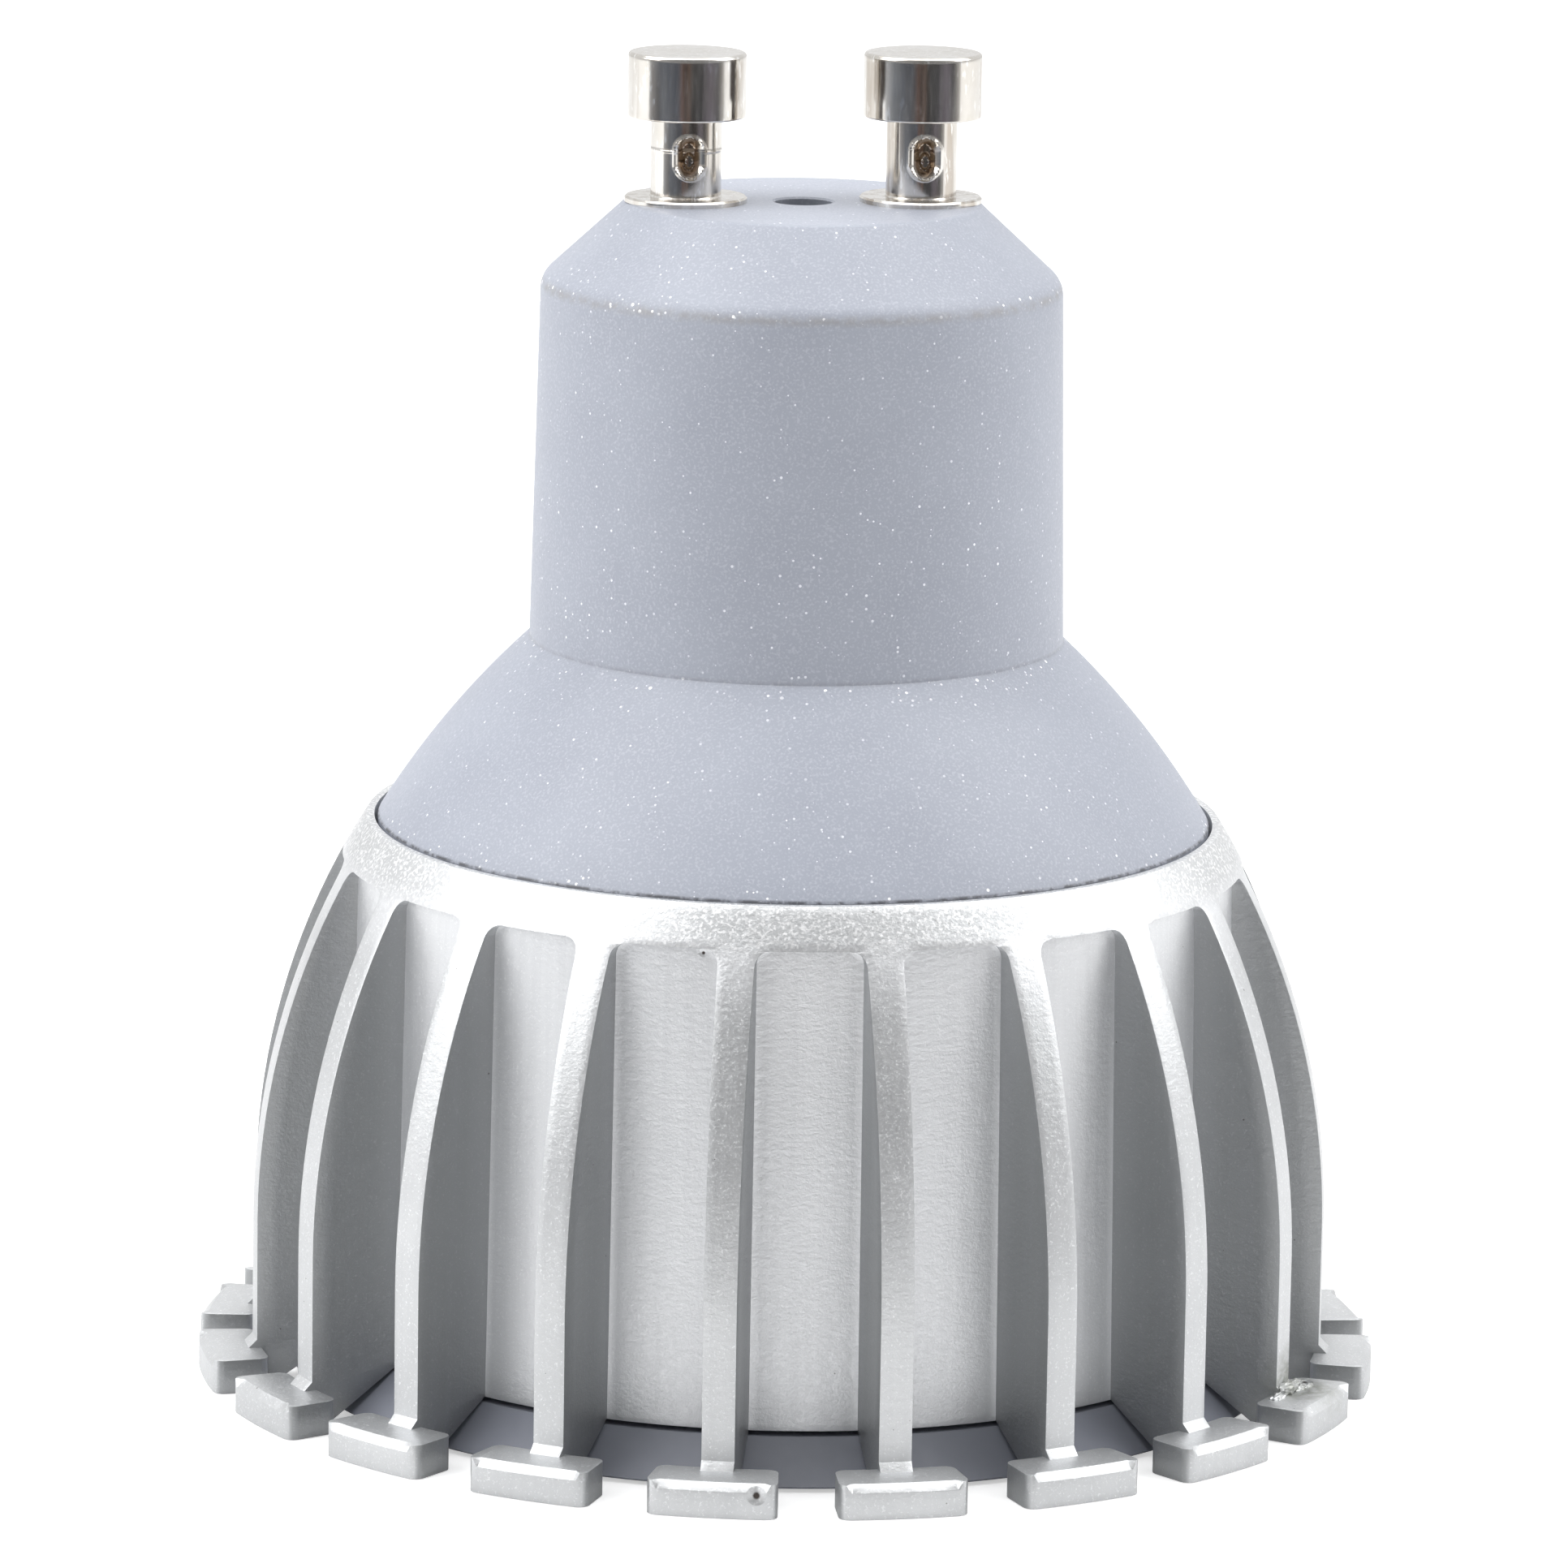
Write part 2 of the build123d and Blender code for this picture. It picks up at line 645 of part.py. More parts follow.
def surface_part(size, x, z, leg_count):
    # A flat moulded package on the +Y face of the board, with legs along its two upright sides
    width, depth, height = size
    thickness = depth - package_stand
    body = block((width, thickness, height), (x, board_face + package_stand + thickness / 2, z))
    body = chamfer(body.faces().sort_by(Axis.Y)[-1].edges(), depth / 8)
    leg_width = 0.45 * width / leg_count
    leg_z = (height + leg_length - leg_thickness) / 2
    for side in (-1, 1):
        for leg in range(leg_count):
            leg_x = x + (leg - (leg_count - 1) / 2) * width / leg_count
            body += block((leg_width, leg_thickness, leg_length),
                          (leg_x, board_face + leg_thickness / 2, z + side * leg_z))
            body += block((leg_width, depth / 2, leg_thickness),
                          (leg_x, board_face + depth / 4, z + side * (height + leg_thickness) / 2))
    return body


def fusible_resistor():
    z = driver_board_top - resistor_drop
    y = board_face + resistor_radius
    body = Pos(0, y, z) * Rot(0, 90, 0) * Cylinder(resistor_radius, resistor_length)
    body = fillet(body.edges().filter_by(GeomType.CIRCLE), resistor_radius / 3)
    for side in (-1, 1):
        tip = side * (resistor_length / 2 + resistor_lead_reach)
        anchor = side * (resistor_length / 2 - lead_anchor)
        body += wire([(anchor, y, z), (tip, y, z), (tip, board_face, z)], lead_radius)
    return body


def filter_inductor():
    z = driver_board_top - inductor_drop
    flat = Pos(0, board_face, z) * Rot(-90, 0, 0)
    drum = disc(inductor_radius, 0, inductor_height)
    drum -= disc(inductor_radius, inductor_flange, inductor_height - inductor_flange)
    drum += disc(inductor_radius - inductor_wire_depth, inductor_flange, inductor_height - inductor_flange)
    return flat * drum


def input_lead(side):
    # From inside the pin down to the top corner of the driver board, on its +Y face
    x = side * pin_spacing / 2
    y = board_face + input_wire_radius + sliding_gap
    board_x = x + side * input_lead_spread
    points = [(x, 0, pin_head_under - pin_bore_roof - input_lead_top_gap),
              (x, 0, cap_under - input_lead_drop),
              (board_x, y, driver_board_top + input_lead_bend),
              (board_x, y, driver_board_top - input_lead_lap)]
    return wire(points, input_wire_radius)


def output_lead(side):
    # From the foot of the driver board, through the floor and the LED board, to a pad between two lenses
    y = board_face + output_wire_radius + sliding_gap
    board_x, x = side * output_lead_spread, side * output_lead_half_pitch
    face = led_board_front - output_wire_radius - sliding_gap
    points = [(board_x, y, driver_board_foot + output_lead_lap),
              (board_x, y, driver_board_foot - output_lead_bend),
              (x, 0.4 * y, floor_top - output_lead_inset),
              (x, 0, led_board_front + output_lead_inset),
              (x, side * output_lead_turn, face - output_lead_sag),
              (x, side * output_lead_reach, face)]
    return wire(points, output_wire_radius)


def sub_parts():
    chip_x = driver_board_foot_half - chip_inset
    diode_x = driver_board_neck_half - diode_inset
    output_can_x = output_can_inset - driver_board_foot_half
    output_can_foot = driver_board_foot + output_can_rise
    shapes = {
        "heatsink": heatsink(),
        "base_housing": base_housing(),
        "contact_pin_left": contact_pin(-1),
        "contact_pin_right": contact_pin(1),
        "front_ring": front_ring(),
        "lens_holder": lens_holder(),
        "led_board": led_board(),
        "thermal_pad": thermal_pad(),
        "led_board_screws": Compound(children=board_screws()),
        "housing_screws": Compound(children=housing_screws()),
        "driver_board": driver_board(),
        "transformer_core_upper": transformer_half(1),
        "transformer_core_lower": transformer_half(-1),
        "transformer_bobbin": transformer_bobbin(),
        "transformer_winding": transformer_winding(),
        "input_capacitor": lying_can(input_can_radius, input_can_height, neck_foot + input_can_rise, -1),
        "output_capacitor": lying_can(output_can_radius, output_can_height, output_can_foot, 1, output_can_x),
        "bridge_rectifier": surface_part(bridge_size, 0, driver_board_top - bridge_drop, 2),
        "control_chip": surface_part(chip_size, chip_x, driver_board_foot + chip_rise, 4),
        "output_diode": surface_part(diode_size, diode_x, driver_board_shoulder + diode_rise, 1),
        "fusible_resistor": fusible_resistor(),
        "filter_inductor": filter_inductor(),
        "input_lead_left": input_lead(-1),
        "input_lead_right": input_lead(1),
        "output_lead_red": output_lead(1),
        "output_lead_black": output_lead(-1),
    }
    for number, place in enumerate(optic_places(), 1):
        shapes[f"lens_{number}"] = place * lens()
        shapes[f"led_emitter_{number}"] = place * emitter()
    return shapes


os.makedirs("parts", exist_ok=True)
for node, shape in sub_parts().items():
    export_step(shape, f"parts/{node}.step")
    print(node, round(shape.volume, 1))
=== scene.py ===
import json
from math import asin, atan2, cos, degrees, hypot, pi, radians, sin, sqrt, tan

import bmesh
import bpy
from bmesh.types import BMEdge, BMFace, BMVert
from mathutils import Matrix, Vector


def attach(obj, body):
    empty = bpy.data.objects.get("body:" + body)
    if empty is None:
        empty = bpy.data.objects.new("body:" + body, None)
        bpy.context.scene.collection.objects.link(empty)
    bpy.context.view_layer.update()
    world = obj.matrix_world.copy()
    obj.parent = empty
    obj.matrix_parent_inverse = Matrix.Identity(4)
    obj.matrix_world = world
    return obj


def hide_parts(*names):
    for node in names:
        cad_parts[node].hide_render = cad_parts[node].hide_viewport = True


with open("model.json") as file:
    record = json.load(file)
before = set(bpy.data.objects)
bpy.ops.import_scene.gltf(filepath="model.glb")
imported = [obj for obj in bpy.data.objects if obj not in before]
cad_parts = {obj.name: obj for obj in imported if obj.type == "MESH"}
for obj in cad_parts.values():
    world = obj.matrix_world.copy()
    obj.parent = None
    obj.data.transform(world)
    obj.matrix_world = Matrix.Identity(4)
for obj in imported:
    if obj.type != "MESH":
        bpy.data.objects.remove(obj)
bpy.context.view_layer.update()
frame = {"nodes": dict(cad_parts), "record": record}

mm = 0.001
fullTurn = 2 * pi
# millimetres within which points of a mesh are made one, and from an edge to the points that hold its shading
weldGap = 1e-4
holdGap = 0.1
# millimetres by which points may miss the height or radius that they are picked by
slack = 0.01


# Small helpers for meshes

def arcBetween(start, end, radius, steps, side=1):
    # points of an arc in the radius and height plane, both ends included
    middle = Vector(((start[0] + end[0]) / 2, (start[1] + end[1]) / 2))
    chord = Vector((end[0] - start[0], end[1] - start[1]))
    reach = sqrt(radius ** 2 - (chord.length / 2) ** 2)
    centre = middle + side * reach * Vector((chord.y, -chord.x)).normalized()
    first = atan2(start[1] - centre.y, start[0] - centre.x)
    last = atan2(end[1] - centre.y, end[0] - centre.x)
    sweep = (last - first + pi) % fullTurn - pi
    turns = [first + sweep * k / steps for k in range(steps + 1)]
    return [(centre.x + radius * cos(turn), centre.y + radius * sin(turn)) for turn in turns]


def roundCorner(before, corner, after, radius, steps=5):
    # points that replace one corner of a profile by an arc
    toBefore = (Vector(before) - Vector(corner)).normalized()
    toAfter = (Vector(after) - Vector(corner)).normalized()
    halfAngle = toBefore.angle(toAfter) / 2
    setback = radius / tan(halfAngle)
    centre = Vector(corner) + (toBefore + toAfter).normalized() * radius / sin(halfAngle)
    start = Vector(corner) + toBefore * setback - centre
    end = Vector(corner) + toAfter * setback - centre
    sweep = start.angle_signed(end)
    return [tuple(centre + Matrix.Rotation(-sweep * k / steps, 2) @ start) for k in range(steps + 1)]


def holdEdges(profile):
    # adds a point near both ends of each long line, so that its shading stays flat beside a rounded edge
    held = [profile[0]]
    for start, end in zip(profile, profile[1:]):
        line = Vector(end) - Vector(start)
        if line.length > 6 * holdGap:
            share = holdGap / line.length
            held += [tuple(Vector(start) + line * place) for place in (share, 1 - share)]
        held.append(end)
    return held


def spinProfile(profile, steps, closed=True):
    # a profile of radius and height in millimetres, turned about the lamp's axis
    bm = bmesh.new()
    row = [bm.verts.new((radius, 0, height)) for radius, height in holdEdges(profile)]
    edges = [bm.edges.new(pair) for pair in zip(row, row[1:])]
    if closed:
        edges.append(bm.edges.new((row[-1], row[0])))
    bmesh.ops.spin(bm, geom=row + edges, cent=(0, 0, 0), axis=(0, 0, 1), angle=fullTurn, steps=steps,
                   use_merge=True)
    bmesh.ops.remove_doubles(bm, verts=bm.verts, dist=weldGap)
    bmesh.ops.recalc_face_normals(bm, faces=bm.faces)
    return bm


def pick(items, kind):
    # the points, edges or faces among what a mesh operator gives back
    return [item for item in items if isinstance(item, kind)]


def turnMesh(bm, angle):
    bmesh.ops.rotate(bm, cent=(0, 0, 0), matrix=Matrix.Rotation(angle, 3, "Z"), verts=bm.verts)


def addPiece(name, bm, material, replaces, crease, bevel=0.0, shift=(0, 0, 0)):
    # millimetres become metres here, and the piece is fixed to the lamp's one body
    bm.transform(Matrix.Scale(mm, 4) @ Matrix.Translation(shift))
    mesh = bpy.data.meshes.new(name)
    bm.to_mesh(mesh)
    bm.free()
    piece = bpy.data.objects.new(name, mesh)
    bpy.context.scene.collection.objects.link(piece)
    if bevel:
        edge = piece.modifiers.new("edgeRound", "BEVEL")
        edge.width = bevel * mm
        edge.segments = 2
        edge.limit_method = "ANGLE"
        edge.angle_limit = radians(crease)
        edge.miter_outer = "MITER_ARC"
        bpy.context.view_layer.update()
        baked = bpy.data.meshes.new_from_object(piece.evaluated_get(bpy.context.evaluated_depsgraph_get()))
        piece.modifiers.clear()
        piece.data = baked
    for face in piece.data.polygons:
        face.use_smooth = True
    piece.data.set_sharp_from_angle(angle=radians(crease))
    piece.data.materials.clear()
    piece.data.materials.append(material)
    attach(piece, "root")
    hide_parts(*replaces)


# Small helpers for materials

class NodePad:
    # writes one material's nodes; each call makes a node and joins its inputs
    def __init__(self, name):
        self.material = bpy.data.materials.new(name)
        self.material.use_nodes = True
        self.tree = self.material.node_tree
        self.tree.nodes.clear()
        self.output = self.tree.nodes.new("ShaderNodeOutputMaterial")
        self.place = self.tree.nodes.new("ShaderNodeTexCoord").outputs["Object"]

    def add(self, kind, inputs=None, **settings):
        node = self.tree.nodes.new(kind)
        for key, value in settings.items():
            setattr(node, key, value)
        for key, value in (inputs or {}).items():
            if isinstance(value, bpy.types.NodeSocket):
                self.tree.links.new(value, node.inputs[key])
            else:
                node.inputs[key].default_value = value
        return node

    def noise(self, scale, detail, roughness=0.5, place=None):
        inputs = {"Vector": place or self.place, "Scale": scale, "Detail": detail, "Roughness": roughness}
        return self.add("ShaderNodeTexNoise", inputs).outputs["Fac"]

    def stretched(self, scale):
        return self.add("ShaderNodeMapping", {"Vector": self.place, "Scale": scale}).outputs["Vector"]

    def ramp(self, value, *stops):
        node = self.add("ShaderNodeValToRGB", {"Fac": value})
        elements = node.color_ramp.elements
        while len(elements) < len(stops):
            elements.new(0.5)
        for element, (position, colour) in zip(elements, stops):
            element.position = position
            element.color = (*colour, 1)
        return node.outputs["Color"]

    def math(self, operation, first, second=0.0):
        return self.add("ShaderNodeMath", {0: first, 1: second}, operation=operation).outputs[0]

    def remap(self, value, low, high, newLow=0.0, newHigh=1.0):
        node = self.add("ShaderNodeMapRange", {"Value": value, "From Min": low, "From Max": high,
                                               "To Min": newLow, "To Max": newHigh})
        return node.outputs["Result"]

    def mix(self, factor, first, second):
        node = self.add("ShaderNodeMix", data_type="RGBA")
        for socket, value in ((node.inputs[0], factor), (node.inputs[6], first), (node.inputs[7], second)):
            if isinstance(value, bpy.types.NodeSocket):
                self.tree.links.new(value, socket)
            elif isinstance(value, tuple):
                socket.default_value = (*value, 1)
            else:
                socket.default_value = value
        return node.outputs[2]

    def axis(self, name):
        return self.add("ShaderNodeSeparateXYZ", {0: self.place}).outputs[name]

    def vector(self, operation, first, second=(0, 0, 0)):
        node = self.add("ShaderNodeVectorMath", {0: first, 1: second}, operation=operation)
        return node.outputs["Value" if operation in ("DISTANCE", "DOT_PRODUCT", "LENGTH") else "Vector"]

    def near(self, point, radius, softness):
        # 1 inside a ball round a point in millimetres, falling to 0 at its edge
        gap = self.vector("DISTANCE", self.place, tuple(value * mm for value in point))
        return self.remap(gap, radius * mm * (1 - softness), radius * mm, 1.0, 0.0)

    def band(self, value, middle, halfWidth, softness):
        # 1 where a length is near its middle value in millimetres, falling to 0 at the half width
        gap = self.math("ABSOLUTE", self.math("SUBTRACT", value, middle * mm))
        return self.remap(gap, halfWidth * mm * (1 - softness), halfWidth * mm, 1.0, 0.0)

    def finSides(self):
        # 0 on faces that look outwards or along the axis, 1 on the sides of the fins
        tangent = self.vector("NORMALIZE", self.vector("CROSS_PRODUCT", self.place, (0, 0, 1)))
        turned = self.vector("DOT_PRODUCT", tangent, self.add("ShaderNodeNewGeometry").outputs["Normal"])
        return self.remap(self.math("ABSOLUTE", turned), 0.55, 0.85)

    def dots(self, scale, share, size):
        # round dots in a share of the cells of 1 / scale metres, up to a size in cells across
        cells = self.add("ShaderNodeTexVoronoi", {"Vector": self.place, "Scale": scale}).outputs
        chance = self.add("ShaderNodeSeparateColor", {0: cells["Color"]}).outputs[0]
        return self.math("LESS_THAN", cells["Distance"], self.remap(chance, 1 - share, 1.0, 0.0, size))

    def bump(self, height, distance, strength, below=None):
        inputs = {"Height": height, "Distance": distance * mm, "Strength": strength}
        if below:
            inputs["Normal"] = below
        return self.add("ShaderNodeBump", inputs).outputs["Normal"]

    def finish(self, colour, normal=None, **sockets):
        base = (*colour, 1) if isinstance(colour, tuple) else colour
        shader = self.add("ShaderNodeBsdfPrincipled", {"Base Color": base})
        for name, value in sockets.items():
            socket = shader.inputs[name.replace("_", " ")]
            if isinstance(value, bpy.types.NodeSocket):
                self.tree.links.new(value, socket)
            else:
                socket.default_value = value
        if normal:
            self.tree.links.new(normal, shader.inputs["Normal"])
        self.tree.links.new(shader.outputs[0], self.output.inputs["Surface"])
        return self.material


# Finishes

# marks are places and radii in millimetres, and heights and radii of a change are where it starts and ends
castLook = dict(bright=(0.64, 0.65, 0.66), dull=(0.57, 0.58, 0.59), side=(0.27, 0.28, 0.285), sideShadeShare=0.68,
                paintedPocketLight=(0.84, 0.85, 0.87), paintedPocketLightRadii=(19.5, 20.6), collarHeights=(21.9, 22.9),
                drawMarksAndSideShade=(0.40, 0.41, 0.43), paintedGlint=(0.92, 0.93, 0.94), pore=(0.12, 0.11, 0.10),
                paintedSparkle=(0.97, 0.97, 0.98), rubbed=(0.80, 0.81, 0.83), stain=(0.33, 0.34, 0.31),
                pit=(0.07, 0.06, 0.055), roughness=0.44, metal=0.85,
                smear=((-12.4, -13.9, 23.6), 1.5), buildUp=((20.6, -11.6, 1.5), 2.2),
                pits=[((-3.83, -25.11, 1.02), 0.30), ((-5.6, -18.11, 22.07), 0.14),
                      ((21.1, -10.5, 1.5), 0.26)])


def castAluminium():
    # a silver spray over the casting: soft vertical draw marks, tiny pores, and a fine sparkle of painted
    # highlight specks
    pad = NodePad("castAluminium")
    cloud = pad.noise(140, 3)
    grain = pad.noise(8500, 2, 0.7)
    dimples = pad.noise(4200, 2, 0.55, pad.stretched((0.5, 0.5, 1.0)))
    streaks = pad.noise(2300, 3, 0.6, pad.stretched((1.0, 1.0, 0.03)))
    colour = pad.mix(pad.remap(cloud, 0.35, 0.65), castLook["dull"], castLook["bright"])
    # painted light: the pocket floors below the collar are lightened towards the core, to stand in for the
    # light they catch
    collarFrom, collarTo = castLook["collarHeights"]
    collar = pad.remap(pad.axis("Z"), collarFrom * mm, collarTo * mm)
    radius = pad.vector("LENGTH", pad.vector("MULTIPLY", pad.place, (1, 1, 0)))
    paintedPocketLightFrom, paintedPocketLightTo = castLook["paintedPocketLightRadii"]
    paintedPocketLight = pad.remap(radius, paintedPocketLightFrom * mm, paintedPocketLightTo * mm, 0.60, 0.0)
    colour = pad.mix(pad.math("MULTIPLY", paintedPocketLight, pad.math("SUBTRACT", 1.0, collar)), colour, castLook["paintedPocketLight"])
    # painted shade: the fin sides, which face their neighbours, are darkened; the draw-mark streaks are real
    # marks, but they are made stronger on the sides as painted shade
    sides = pad.finSides()
    colour = pad.mix(pad.math("MULTIPLY", sides, castLook["sideShadeShare"]), colour, castLook["side"])
    drawMarksAndSideShade = pad.math("MULTIPLY", pad.remap(streaks, 0.4, 0.75), pad.remap(sides, 0.0, 1.0, 0.12, 0.45))
    colour = pad.mix(drawMarksAndSideShade, colour, castLook["drawMarksAndSideShade"])
    # painted highlight: fine bright glints in the colour, more on the outer faces than on the fin sides
    paintedGlints = pad.math("MULTIPLY", pad.remap(grain, 0.56, 0.75), pad.remap(sides, 0.0, 1.0, 0.7, 0.2))
    colour = pad.mix(paintedGlints, colour, castLook["paintedGlint"])
    colour = pad.mix(pad.math("MULTIPLY", pad.dots(1500, 0.13, 0.075), 0.7), colour, castLook["pore"])
    # the collar shows a coarser sparkle of painted highlight specks and one rubbed place at its edge, and one
    # foot a stain
    smear = pad.near(*castLook["smear"], 0.2)
    paintedSparkle = pad.math("MULTIPLY", collar, pad.remap(pad.noise(6500, 1, 0.5), 0.50, 0.64))
    colour = pad.mix(pad.math("MULTIPLY", paintedSparkle, 0.7), colour, castLook["paintedSparkle"])
    colour = pad.mix(pad.math("MULTIPLY", smear, 0.6), colour, castLook["rubbed"])
    uneven = pad.remap(dimples, 0.35, 0.6, 0.3, 0.9)
    buildUp = pad.math("MULTIPLY", pad.near(*castLook["buildUp"], 0.6), uneven)
    colour = pad.mix(buildUp, colour, castLook["stain"])
    normal = pad.bump(grain, 0.012, 0.9)
    normal = pad.bump(dimples, 0.020, 0.8, normal)
    normal = pad.bump(streaks, 0.010, 0.35, normal)
    for point, radius in castLook["pits"]:
        colour = pad.mix(pad.near(point, radius * 0.6, 0.4), colour, castLook["pit"])
        edge = pad.math("SUBTRACT", 1.0, pad.near(point, radius * 1.4, 0.7))
        normal = pad.bump(edge, radius * 0.3, 1.0, normal)
    rough = pad.remap(grain, 0.3, 0.7, castLook["roughness"] - 0.08, castLook["roughness"] + 0.10)
    return pad.finish(colour, normal, Metallic=castLook["metal"], Roughness=rough)


# lines are height, half width, strength and colour, and flash is height and half width, in millimetres
housingLook = dict(face=(0.346, 0.368, 0.426), shade=(0.320, 0.340, 0.396), fleck=(0.86, 0.88, 0.92),
                   bright=(0.97, 0.97, 0.98), dark=(0.08, 0.08, 0.09), grain=(0.60, 0.62, 0.67),
                   flashColour=(0.98, 0.98, 0.99), coneFoot=(47.0, 47.6), roughness=0.46,
                   lines=[(47.05, 0.30, 0.55, (0.27, 0.26, 0.25)), (31.90, 0.14, 0.35, (0.20, 0.20, 0.22)),
                          (24.03, 0.10, 0.90, (0.04, 0.04, 0.045))],
                   flash=[(47.25, 0.30), (31.55, 0.45), (24.28, 0.25)])


def housingPlastic():
    pad = NodePad("housingPlastic")
    cloud = pad.noise(220, 3)
    fine = pad.noise(4200, 3, 0.65)
    height = pad.axis("Z")
    ragged = pad.noise(1500, 3, 0.65)
    colour = pad.mix(pad.remap(cloud, 0.3, 0.7), housingLook["shade"], housingLook["face"])
    patches = pad.remap(pad.noise(90, 2), 0.35, 0.62, 0.25, 0.95)
    colour = pad.mix(pad.math("MULTIPLY", pad.dots(3600, 0.36, 0.22), patches), colour, housingLook["fleck"])
    colour = pad.mix(pad.math("MULTIPLY", pad.dots(1500, 0.05, 0.055), 0.8), colour, housingLook["bright"])
    colour = pad.mix(pad.math("MULTIPLY", pad.dots(700, 0.06, 0.045), 0.7), colour, housingLook["dark"])
    colour = pad.mix(pad.remap(pad.noise(9000, 1), 0.50, 0.74, 0.0, 0.30), colour, housingLook["grain"])
    # worn, dark and flashed lines: a worn brownish line at the shoulder, a dark line at the neck's foot, and
    # a near-black line of painted shade along the seam at the dome's edge
    for middle, halfWidth, share, tint in housingLook["lines"]:
        worn = pad.remap(ragged, 0.40, 0.56, 0.25, 1.0)
        line = pad.math("MULTIPLY", pad.band(height, middle, halfWidth, 0.9), worn)
        colour = pad.mix(pad.math("MULTIPLY", line, share), colour, tint)
    for middle, halfWidth in housingLook["flash"]:
        flash = pad.math("MULTIPLY", pad.band(height, middle, halfWidth, 0.6), pad.dots(3800, 0.55, 0.32))
        flash = pad.math("MULTIPLY", flash, pad.remap(pad.noise(260, 2), 0.42, 0.54))
        colour = pad.mix(flash, colour, housingLook["flashColour"])
    # the cone keeps the fine turned lines of its mould
    turned = pad.noise(6000, 1, 0.5, pad.stretched((0.04, 0.04, 1.0)))
    normal = pad.bump(fine, 0.010, 0.45)
    coneFrom, coneTo = housingLook["coneFoot"]
    normal = pad.bump(turned, 0.004, pad.remap(height, coneFrom * mm, coneTo * mm, 0.0, 0.55), normal)
    rough = pad.remap(fine, 0.3, 0.7, housingLook["roughness"] - 0.05, housingLook["roughness"] + 0.06)
    return pad.finish(colour, normal, Roughness=rough)


# the film thins between two heights; the hollow has two radii, and a band of a height and a half width
pinLook = dict(plate=(0.72, 0.70, 0.67), shade=(0.63, 0.60, 0.55), worn=(0.95, 0.95, 0.94),
               film=(0.36, 0.30, 0.24), filmTop=(56.5, 56.8),
               hollow=(0.42, 0.31, 0.21), hollowRadii=(1.20, 1.42), hollowBand=(52.5, 1.4))


def pinNickel():
    pad = NodePad("pinNickel")
    cloud = pad.noise(500, 3)
    colour = pad.mix(pad.remap(cloud, 0.35, 0.7), pinLook["plate"], pinLook["shade"])
    # a brown film in soft upright streaks, and the dark hollow of the punch mark
    film = pad.noise(1400, 2, 0.5, pad.stretched((1.0, 1.0, 0.07)))
    topFrom, topTo = pinLook["filmTop"]
    upright = pad.remap(pad.axis("Z"), topFrom * mm, topTo * mm, 1.0, 0.15)
    film = pad.math("MULTIPLY", pad.remap(film, 0.48, 0.64, 0.0, 0.6), upright)
    colour = pad.mix(film, colour, pinLook["film"])
    worn = pad.noise(3800, 3, 0.7, pad.stretched((1.0, 1.0, 0.25)))
    colour = pad.mix(pad.remap(worn, 0.58, 0.66, 0.0, 0.7), colour, pinLook["worn"])
    aside = pad.math("SUBTRACT", pad.math("ABSOLUTE", pad.axis("X")), pinSizes["spacing"] / 2 * mm)
    square = pad.math("ADD", pad.math("POWER", aside, 2.0), pad.math("POWER", pad.axis("Y"), 2.0))
    hollowFrom, hollowTo = pinLook["hollowRadii"]
    sunk = pad.remap(pad.math("SQRT", square), hollowFrom * mm, hollowTo * mm, 1.0, 0.0)
    hollow = pad.math("MULTIPLY", sunk, pad.band(pad.axis("Z"), *pinLook["hollowBand"], 0.2))
    colour = pad.mix(pad.math("MULTIPLY", hollow, 0.8), colour, pinLook["hollow"])
    scratches = pad.noise(3200, 2, 0.6, pad.stretched((1.0, 1.0, 0.12)))
    normal = pad.bump(scratches, 0.003, 0.35)
    normal = pad.bump(pad.noise(1100, 2, 0.5), 0.006, 0.35, normal)
    return pad.finish(colour, normal, Metallic=1.0, Roughness=pad.remap(scratches, 0.3, 0.75, 0.10, 0.22))


def plainFinish(name, low, high, roughness, metallic=0.0, lift=0.006):
    # a finish for the pieces that are seen little: two close colours in clouds, and a fine grain
    pad = NodePad(name)
    colour = pad.mix(pad.remap(pad.noise(300, 3), 0.35, 0.65), low, high)
    fine = pad.noise(2500, 2, 0.6)
    rough = pad.remap(fine, 0.3, 0.7, roughness - 0.05, roughness + 0.05)
    return pad.finish(colour, pad.bump(fine, lift, 0.4), Metallic=metallic, Roughness=rough)


def clearAcrylic():
    pad = NodePad("clearAcrylic")
    wave = pad.noise(180, 2)
    return pad.finish((0.97, 0.98, 0.99), pad.bump(wave, 0.004, 0.2), Roughness=0.03, IOR=1.49,
                      Transmission_Weight=1.0)


# The die-cast heatsink: one sector round a pocket is drawn, dug out and spun into the whole ring

castSizes = dict(fins=20, firstFin=-84.87, rootThickness=1.55, draft=1.2, bellyRadius=23.2, bellyHeight=7.0,
                 slantRadius=22.3, collarTop=24.0, collarRadius=18.3, coreTopRadius=18.95,
                 coreFootRadius=19.3, coreFootHeight=2.05, pocketTop=22.3, pocketCorner=0.6,
                 gusset=0.35, footHeight=1.45,
                 rimLift=0.02, rimSetback=0.12, gussetSink=0.05, gussetReach=0.4, rootBlend=2.6,
                 finColumns=2, pocketColumns=12, cornerRows=6, bowRows=22, collarRows=5, edgeRound=0.075,
                 seamGap=1e-3)
# radius and height of the core's corners inside, from its foot up to the collar's top
castInside = [(17.5, 2.05), (17.5, 12.6), (2.2, 12.6), (2.2, 14.8),
              (16.95, 14.8), (16.95, 22.8), (17.95, 22.8), (17.95, 24.0)]


